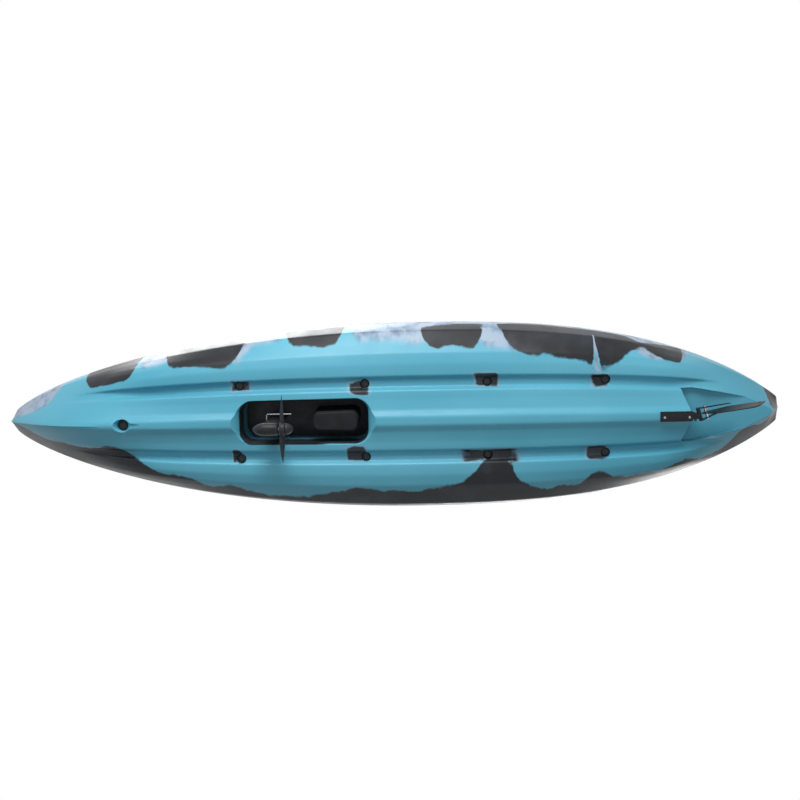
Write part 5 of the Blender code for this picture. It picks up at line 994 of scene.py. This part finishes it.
for word, side in SIDES:
    holder = bmesh.new()
    tube_shape = spun(holder, (0, 0, 0), UP,
                      ((0.1385, 0.0203), (0.3045, 0.0203), (0.3055, 0.0215), (0.305, 0.035),
                       (0.3035, 0.0378), (0.3003, 0.0384), (0.3003, 0.0235), (0.14, 0.0235),
                       (0.1355, 0.02)), 40)
    leaned_aft(tube_shape, side)
    name = "rod_holder_" + word
    placed(name + "_cup", holder, black_nylon, "hull", name)

plug = bmesh.new()
spun(plug, (DRAIN_X, 0, 0.3203), UP,
     ((-0.021, 0.0095), (0, 0.0118), (0, 0.0178), (0.0022, 0.018), (0.0035, 0.017),
      (0.0045, 0.0125), (0.012, 0.0112), (0.0128, 0.01)), 40)
placed("drain_plug_turned", plug, black_nylon, "hull", "drain_plug")

ROUND_HATCH = (-0.028, 0, 0.1203)
RING_SCREWS = 0.0775
LID_STUDS = 0.064
hatch_ring = bmesh.new()
spun(hatch_ring, ROUND_HATCH, UP,
     ((-0.012, 0.066), (-0.012, 0.071), (0, 0.071), (0, 0.083), (0.0018, 0.0838), (0.0036, 0.0828),
      (0.0062, 0.0725), (0.007, 0.07), (0.007, 0.066)), 72, bore=True)
for k in range(6):
    angle = pi / 3 * k + 0.4
    spot = (ROUND_HATCH[0] + RING_SCREWS * cos(angle), RING_SCREWS * sin(angle), 0.1245)
    bolt_head(hatch_ring, spot, UP, 0.003, 0.0014)
placed("round_hatch_collar", hatch_ring, black_nylon, "hull", "round_hatch_ring")
lid = bmesh.new()
spun(lid, ROUND_HATCH, UP,
     ((-0.01, 0.0628), (0.0073, 0.0648), (0.0073, 0.0685), (0.009, 0.0688), (0.01, 0.068),
      (0.01, 0.06), (0.0082, 0.0575), (0.0082, 0.03), (0.0096, 0.027)), 72)
rounded_block(lid, (-0.073, -0.007, 0.128), (0.017, 0.007, 0.1423), 0.004)
for k in range(24):
    angle = pi / 12 * k
    spot = (ROUND_HATCH[0] + LID_STUDS * cos(angle), LID_STUDS * sin(angle), 0.1303)
    spun(lid, spot, UP, ((-0.001, 0.0018), (0.0006, 0.0016), (0.0011, 0.0009), (0.0012, 0)), 10)
placed("round_hatch_cap", lid, black_nylon, "round_hatch_lid", "round_hatch_lid")


# Bow hatch
# The lid is moulded in the hull's own powders, with a rounded rim, a sunk panel and a lift tab.
# It turns on two lugs at its fore edge.

def plain_powder(data):
    """A moulding without the hull's listed borders. Its pattern is the deck's."""
    for name in ("slate", "pale"):
        layer = data.attributes.new(name, "FLOAT", "POINT")
        layer.data.foreach_set("value", [-1.0] * len(data.vertices))
    return data


LID_FOOT = 0.3166
LID_TOP = 0.3426
LID_LIP = 0.023
cover = bmesh.new()
plan_stack(cover, HATCH_PLAN, HATCH_CORNER,
           ((LID_TOP - 0.007, -0.03), (LID_FOOT + 0.01, 0.002), (LID_FOOT, 0.004),
            (LID_FOOT, LID_LIP), (LID_FOOT + 0.0135, LID_LIP),
            (LID_FOOT + 0.0165, LID_LIP - 0.0016), (LID_TOP - 0.006, LID_LIP - 0.0085),
            (LID_TOP - 0.0025, LID_LIP - 0.0135), (LID_TOP - 0.0006, LID_LIP - 0.0175),
            (LID_TOP, LID_LIP - 0.022), (LID_TOP, LID_LIP - 0.04),
            (LID_TOP - 0.001, LID_LIP - 0.0425), (LID_TOP - 0.003, LID_LIP - 0.044)), 8)
for side in (-1, 1):
    spun(cover, (1.488, side * 0.034, 0.3212), (0, side, 0),
         ((0, 0.0031), (0, 0.0074), (0.0006, 0.008), (0.0134, 0.008), (0.014, 0.0074),
          (0.014, 0.0031)), 32, bore=True)
    inner, outer = sorted((side * 0.0345, side * 0.0475))
    rounded_block(cover, (1.466, inner, 0.3186), (1.484, outer, 0.3272), 0.001, 2)
rounded_block(cover, (1.073, -0.045, LID_TOP - 0.012), (1.089, 0.045, LID_TOP + 0.01), 0.0045, 4)
placed("bow_hatch_cover", plain_powder(mesh_of("bow_hatch_cover", cover)), camouflage,
       "bow_hatch_lid", "bow_hatch_lid")


# Seat
# A loop of bent aluminium tube on four legs, in rubber runners. The back's tube turns on two
# bolts. Both cushions are foam in woven black polyester with sewn channels and piping.

CUSHION_THICKNESS = 0.032
CHANNEL_DEPTH = 0.0085
PAD_VOXEL = 0.006
PAD_FRAMES = 16
PAD_SWELL = 0.006
RECLINE = radians(12)
BACK_PIVOT = Vector((-0.545, 0, 0.29))
back_up = Vector((-sin(RECLINE), 0, cos(RECLINE)))
back_ahead = Vector((cos(RECLINE), 0, sin(RECLINE)))
SEAT_HALF = 0.205
SEAT_HEIGHT = 0.215
SEAT_TUBE = 0.0122
BACK_HALF = 0.23195
BACK_HEIGHT = 0.45
BACK_FOOT = -0.012
BACK_TUBE = 0.0103
STRAP = 0.025

loop = [(x, y, SEAT_HEIGHT) for x, y in rectangle(-0.52, -0.14, SEAT_HALF, SEAT_HALF)]
placed("seat_loop",
       bent_tube("seat_loop", filleted(loop, 0.046, 10, closed=True), SEAT_TUBE, closed=True),
       anodised, "hull", "seat_frame")
legs = bmesh.new()
for x in (-0.47, -0.19):
    for side in (-1, 1):
        spun(legs, (x, side * SEAT_HALF, 0.1205), UP,
             ((0, 0.0105), (0.0008, 0.0112), (0.082, 0.0112), (0.086, 0.0126), (0.094, 0.013)), 28)
placed("seat_legs", legs, anodised, "hull")
for word in ("port", "starboard"):
    eased_copy("seat_runner_pad_" + word, "seat_runner_" + word, soft_rubber, "hull", 0.0012, 3)
    eased_copy("seat_hinge_plate_" + word, "seat_hinge_" + word, stainless, "hull", 0.0005)

back_plan = rectangle(BACK_FOOT, BACK_HEIGHT, BACK_HALF, BACK_HALF)[::-1]
back_corners = [BACK_PIVOT + back_up * rise + Vector((0, y, 0)) for rise, y in back_plan]
back_tube = bmesh.new()
swept(back_tube, filleted(back_corners, 0.052, 12), BACK_TUBE, 24)
bar = BACK_PIVOT + back_up * 0.13
swept(back_tube, [bar - Vector((0, BACK_HALF, 0)), bar + Vector((0, BACK_HALF, 0))], 0.0083, 20)
placed("seat_back_tube", back_tube, anodised, "seat_back", "seat_back_frame", smooth_below=60)


def woven():
    """A heathered cloth of crossed threads, faded here and there."""
    finish, shader, place = new_finish("woven_polyester", (0.03, 0.031, 0.035), 0.86)
    shader.inputs["Sheen Weight"].default_value = 0.25
    shader.inputs["Sheen Roughness"].default_value = 0.5
    warp, weft, upright = (threads(place, turned_by, 130, 0.4)
                           for turned_by in ((0, 0, 0), (0, 0, 90), (0, 90, 0)))
    weave = maths("ADD", maths("MULTIPLY", warp, weft), maths("MULTIPLY", upright, 0.5))
    heather = ramp(grain(place, 420.0, 2.0), 0.48, 0.66)
    colour = blended(heather, (0.022, 0.023, 0.026), (0.075, 0.08, 0.086))
    faded = blended(ramp(grain(place, 6.0, 3.0), 0.4, 0.8), colour, (0.05, 0.053, 0.058))
    wired(shader, "Base Color", faded)
    embossed(shader, weave, 0.00035)
    return finish


polyester = woven()
thread_finish = moulded("piping_cord", (0.026, 0.027, 0.03), (0.055, 0.058, 0.062), 0.7, 1200.0,
                        0.0002)


def stuffed_pad(name, length, width, where, body, node):
    """A crowned pad: a block is pulled in between its corners, swelled as cloth and sewn."""
    pad = bmesh.new()
    bmesh.ops.create_cube(pad, size=1)
    bmesh.ops.scale(pad, vec=(length - 0.006, width - 0.006, CUSHION_THICKNESS * 0.6),
                    verts=pad.verts[:])
    bmesh.ops.subdivide_edges(pad, edges=pad.edges[:], cuts=23, use_grid_fill=True)
    for vert in pad.verts:
        u = 2 * vert.co.x / length
        v = 2 * vert.co.y / width
        vert.co.x *= 1 - 0.018 * (1 - v * v)
        vert.co.y *= 1 - 0.018 * (1 - u * u)
        crown = max(1 - max(abs(u), abs(v)) ** 5, 0.0)
        vert.co.z *= 0.62 + 0.38 * crown if vert.co.z > 0 else 1.0
    piece = placed(name, pad, polyester, body, node, smooth_below=180)
    change = piece.modifiers.new("even_skin", "REMESH")
    change.mode = "VOXEL"
    change.voxel_size = PAD_VOXEL
    settled(piece)
    rest = [vert.co.copy() for vert in piece.data.vertices]
    cloth = piece.modifiers.new("stuffing", "CLOTH")
    cloth.settings.use_pressure = True
    cloth.settings.uniform_pressure_force = 4.0
    cloth.settings.effector_weights.gravity = 0.0
    cloth.settings.tension_stiffness = 25
    cloth.settings.compression_stiffness = 25
    cloth.point_cache.frame_start = 1
    cloth.point_cache.frame_end = PAD_FRAMES
    for number in range(1, PAD_FRAMES + 1):
        bpy.context.scene.frame_set(number)
    graph = bpy.context.evaluated_depsgraph_get()
    swelled = [vert.co.copy() for vert in piece.evaluated_get(graph).data.vertices]
    piece.modifiers.clear()
    bpy.context.scene.frame_set(1)
    for vert, before, after in zip(piece.data.vertices, rest, swelled):
        move = after - before
        vert.co = before + move * min(1.0, PAD_SWELL / max(move.length, 1e-6))
    half_thick = CUSHION_THICKNESS * 0.3
    for vert in piece.data.vertices:
        x, y, z = vert.co
        u = min(abs(2 * x / length), 1.0)
        v = min(abs(2 * y / width), 1.0)
        rise = z + half_thick
        if rise > half_thick:
            rise *= 1.22
            for channel in (-0.36, 0.0, 0.36):
                depth = exp(-((2 * x / length - channel) / 0.05) ** 2)
                rise -= CHANNEL_DEPTH * depth * max(1 - v ** 6, 0.0)
        vert.co.z = max(rise, 0.0)
    rim = {}
    for vert in piece.data.vertices:
        if 0.006 < vert.co.z < 0.018:
            bearing = round(atan2(vert.co.y / width, vert.co.x / length) / tau * 120) % 120
            if vert.co.xy.length > rim.get(bearing, Vector((0, 0, 0))).xy.length:
                rim[bearing] = vert.co.copy()
    seam = [rim[bearing] for bearing in sorted(rim)]
    seam = [where @ Vector(((a.x + b.x + c.x) / 3, (a.y + b.y + c.y) / 3, 0.0115))
            for a, b, c in zip(seam[-1:] + seam[:-1], seam, seam[1:] + seam[:1])]
    piece.data.transform(where)
    piece.data.materials.clear()
    piece.data.materials.append(polyester)
    piece.data.shade_smooth()
    finer = piece.modifiers.new("finer", "SUBSURF")
    finer.levels = 1
    finer.render_levels = 1
    piping = name + "_piping"
    placed(piping, bent_tube(piping, seam, 0.0024, closed=True), thread_finish, body)


stuffed_pad("seat_pad", 0.3925, 0.38, Matrix.Translation((-0.33, 0, 0.227)), "hull", "seat_cushion")
back_middle = BACK_PIVOT + back_up * 0.275 + back_ahead * 0.0104
back_place = Matrix((back_up, (0, 1, 0), back_ahead)).transposed().to_4x4()
back_place.col[1] = (0, -1, 0, 0)
stuffed_pad("seat_back_pad", 0.34, 0.4239, Matrix.Translation(back_middle) @ back_place,
            "seat_back", "seat_back_cushion")


def webbing(name, places, inner, half, strap_height, where, body):
    """Straps of black webbing under a cushion, each sewn round both side tubes."""
    web = bmesh.new()
    outer = inner + 0.0016
    for along in places:
        aft = along - STRAP / 2
        for side in (-1, 1):
            spun(web, (aft, side * half, 0), (1, 0, 0),
                 ((0, inner), (0, outer), (STRAP, outer), (STRAP, inner)), 32, bore=True)
        rounded_block(web, (aft, -half, strap_height - 0.0012),
                      (along + STRAP / 2, half, strap_height), 0.0004, 1)
    bmesh.ops.transform(web, matrix=where, verts=web.verts[:])
    bmesh.ops.recalc_face_normals(web, faces=web.faces[:])
    placed(name, web, polyester, body)


webbing("seat_webbing", (-0.44, -0.33, -0.22), 0.0123, SEAT_HALF, 0.0122,
        Matrix.Translation((0, 0, SEAT_HEIGHT)), "hull")
webbing("seat_back_webbing", (0.185, 0.275, 0.365), 0.0104, BACK_HALF, 0.0098,
        Matrix.Translation(BACK_PIVOT) @ back_place, "seat_back")


# Pedal drive
# Two halves of glass-filled nylon hold the crank, its gears and the upright shaft. Forged
# aluminium arms carry platform pedals with studs.

SHAFT_LINE = Vector((0, 0, -0.2))
brass = metal("gear_bronze", (0.56, 0.39, 0.18), 0.34, (1, 1, 0.05))

eased_copy("drive_base_plate", "drive_base", glass_nylon, "hull", 0.0022, 4)
base_screws = bmesh.new()
for x, y in ((0.135, 0.08), (0.722, 0.08), (0.43, 0.092)):
    for side in (1, -1):
        bolt_head(base_screws, (x, side * y, 0.2973), UP, 0.0062, 0.0034)
placed("base_screws", base_screws, stainless, "hull")
for word in ("port", "starboard"):
    eased_copy("gearcase_shell_" + word, "gearcase_" + word, glass_nylon, "hull", 0.0024, 4)
    eased_copy("crank_arm_forging_" + word, "crank_arm_" + word, anodised, "crank", 0.002, 4)
    eased_copy("pedal_platform_" + word, "pedal_" + word, black_nylon, "pedal_" + word, 0.0014, 3)
    low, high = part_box("pedal_" + word)
    middle = (Vector(low) + Vector(high)) / 2
    studs = bmesh.new()
    for i in range(5):
        for end in (-1, 1):
            for face in (-1, 1):
                foot = Vector((middle.x + end * 0.0385, middle.y + (i - 2) * 0.0195,
                               middle.z + face * 0.012))
                spun(studs, foot, (0, 0, face), ((0, 0.0019), (0.0028, 0.0017), (0.0034, 0.0011)),
                     10)
    placed("pedal_studs_" + word, studs, stainless, "pedal_" + word)
    dressed("crank_bearing_" + word, stainless)
dressed("crank_axle", stainless)
dressed("crank_gear", brass)
dressed("drive_shaft", brass)
dressed("shaft_bushing", black_nylon)
eased_copy("drive_latch_lever", "drive_latch", black_nylon, "drive_latch", 0.0012, 3)


# Leg, pod and propeller
# The upright shaft runs down a slim leg into a turned pod. Two moulded blades stand on a hub,
# held by a pointed nut.

dressed("drive_leg", glass_nylon)
POD_LENGTH = 0.112
POD_RADIUS = 0.029
HUB_X = 0.4935
BLADE_RINGS = 24
BLADE_SIDES = 28
pod = bmesh.new()
pod_shares = ((0.0, 0.8), (0.03, 0.89), (0.06, 0.95), (0.12, 0.975), (0.2, 0.992), (0.3, 1.0),
              (0.44, 1.0), (0.58, 0.995), (0.7, 0.925), (0.8, 0.8), (0.88, 0.63), (0.94, 0.44),
              (0.98, 0.25), (1.0, 0.12))
spun(pod, Vector((0.51, 0, 0)) + SHAFT_LINE, (1, 0, 0),
     [(share * POD_LENGTH, reach * POD_RADIUS) for share, reach in pod_shares], 64)
placed("drive_pod_shell", pod, glass_nylon, "hull", "drive_pod")
dressed("prop_bearing", stainless)
dressed("prop_shaft", stainless)
dressed("shaft_seal", soft_rubber)
screw = bmesh.new()
spun(screw, Vector((0.4803, 0, 0)) + SHAFT_LINE, (1, 0, 0),
     ((0, 0.0262), (0.0012, 0.028), (0.004, 0.0288), (0.0225, 0.0288), (0.025, 0.0276),
      (0.0257, 0.025)), 56)
for side in (-1, 1):
    rings = []
    for i in range(BLADE_RINGS + 1):
        share = i / BLADE_RINGS
        reach = 0.024 + 0.1226 * share
        chord = 0.0055 + 0.024 * (1 - share ** 2.2) + 0.011 * sin(pi * share)
        pitch = radians(40 - 24 * share)
        middle = HUB_X - 0.003 * share * share
        ring = []
        for j in range(BLADE_SIDES):
            turn = j / BLADE_SIDES * tau
            along = cos(turn) * chord / 2 + 0.006 * share * share
            across = sin(turn) * (0.0044 - 0.0032 * share) * (0.55 + 0.45 * cos(turn / 2) ** 2)
            lead = middle + along * sin(pitch) + across * cos(pitch)
            lift = side * (along * cos(pitch) - across * sin(pitch))
            ring.append(SHAFT_LINE + Vector((lead, side * reach, lift)))
        rings.append(ring)
    stacked(screw, rings)
placed("propeller_moulding", screw, black_nylon, "propeller", "propeller", smooth_below=50)
nut = bmesh.new()
spun(nut, Vector((0.4797, 0, 0)) + SHAFT_LINE, (-1, 0, 0),
     ((0, 0.024), (0.002, 0.0256), (0.005, 0.0258), (0.011, 0.0246), (0.018, 0.0218),
      (0.025, 0.0172), (0.031, 0.0112), (0.0345, 0.006), (0.0358, 0.002), (0.0359, 0)), 56)
placed("prop_nut_cone", nut, black_nylon, "propeller", "prop_nut")


# Well fairing and stay rod
# A moulded tray closes the fore part of the drive well, so that the water runs past it. A bent
# rod of stainless steel steadies the leg.

# The tray's near-black colour is partly painted shade.
eased_copy("fairing_tray", "well_fairing", fairing_black_and_shade, "hull", 0.003, 4)
dressed("stay_rod", stainless)


# Rudder
# A painted steel bracket on the keel carries a fork and a short tiller on one pin. The blade is
# a flat plate on a bolt, raked aft.

painted_steel = moulded("painted_steel", (0.006, 0.006, 0.007), (0.013, 0.013, 0.015), 0.4, 700.0,
                        0.00006)
for node, body, ease in (("rudder_bracket", "hull", 0.0006), ("rudder_fork", "rudder", 0.0008),
                         ("tiller_arm", "rudder", 0.0006),
                         ("rudder_blade", "rudder_blade", 0.0012)):
    eased_copy(node + "_eased", node, painted_steel, body, ease, 3)
dressed("blade_bolt", stainless)
plate_screws = bmesh.new()
for x in (-1.3266, -1.2146):
    bolt_head(plate_screws, (x, -0.004, -0.0063), (0, 0, -1), 0.0052, 0.0035)
placed("plate_screws", plate_screws, stainless, "hull")


# Steering lever
# A short lever on a round base stands beside the seat. A cable runs aft
# from it inside the hull.

eased_copy("lever_base_eased", "lever_base", black_nylon, "hull", 0.0012, 3)
eased_copy("lever_arm_eased", "steering_lever", black_nylon, "steering_lever", 0.001, 3)
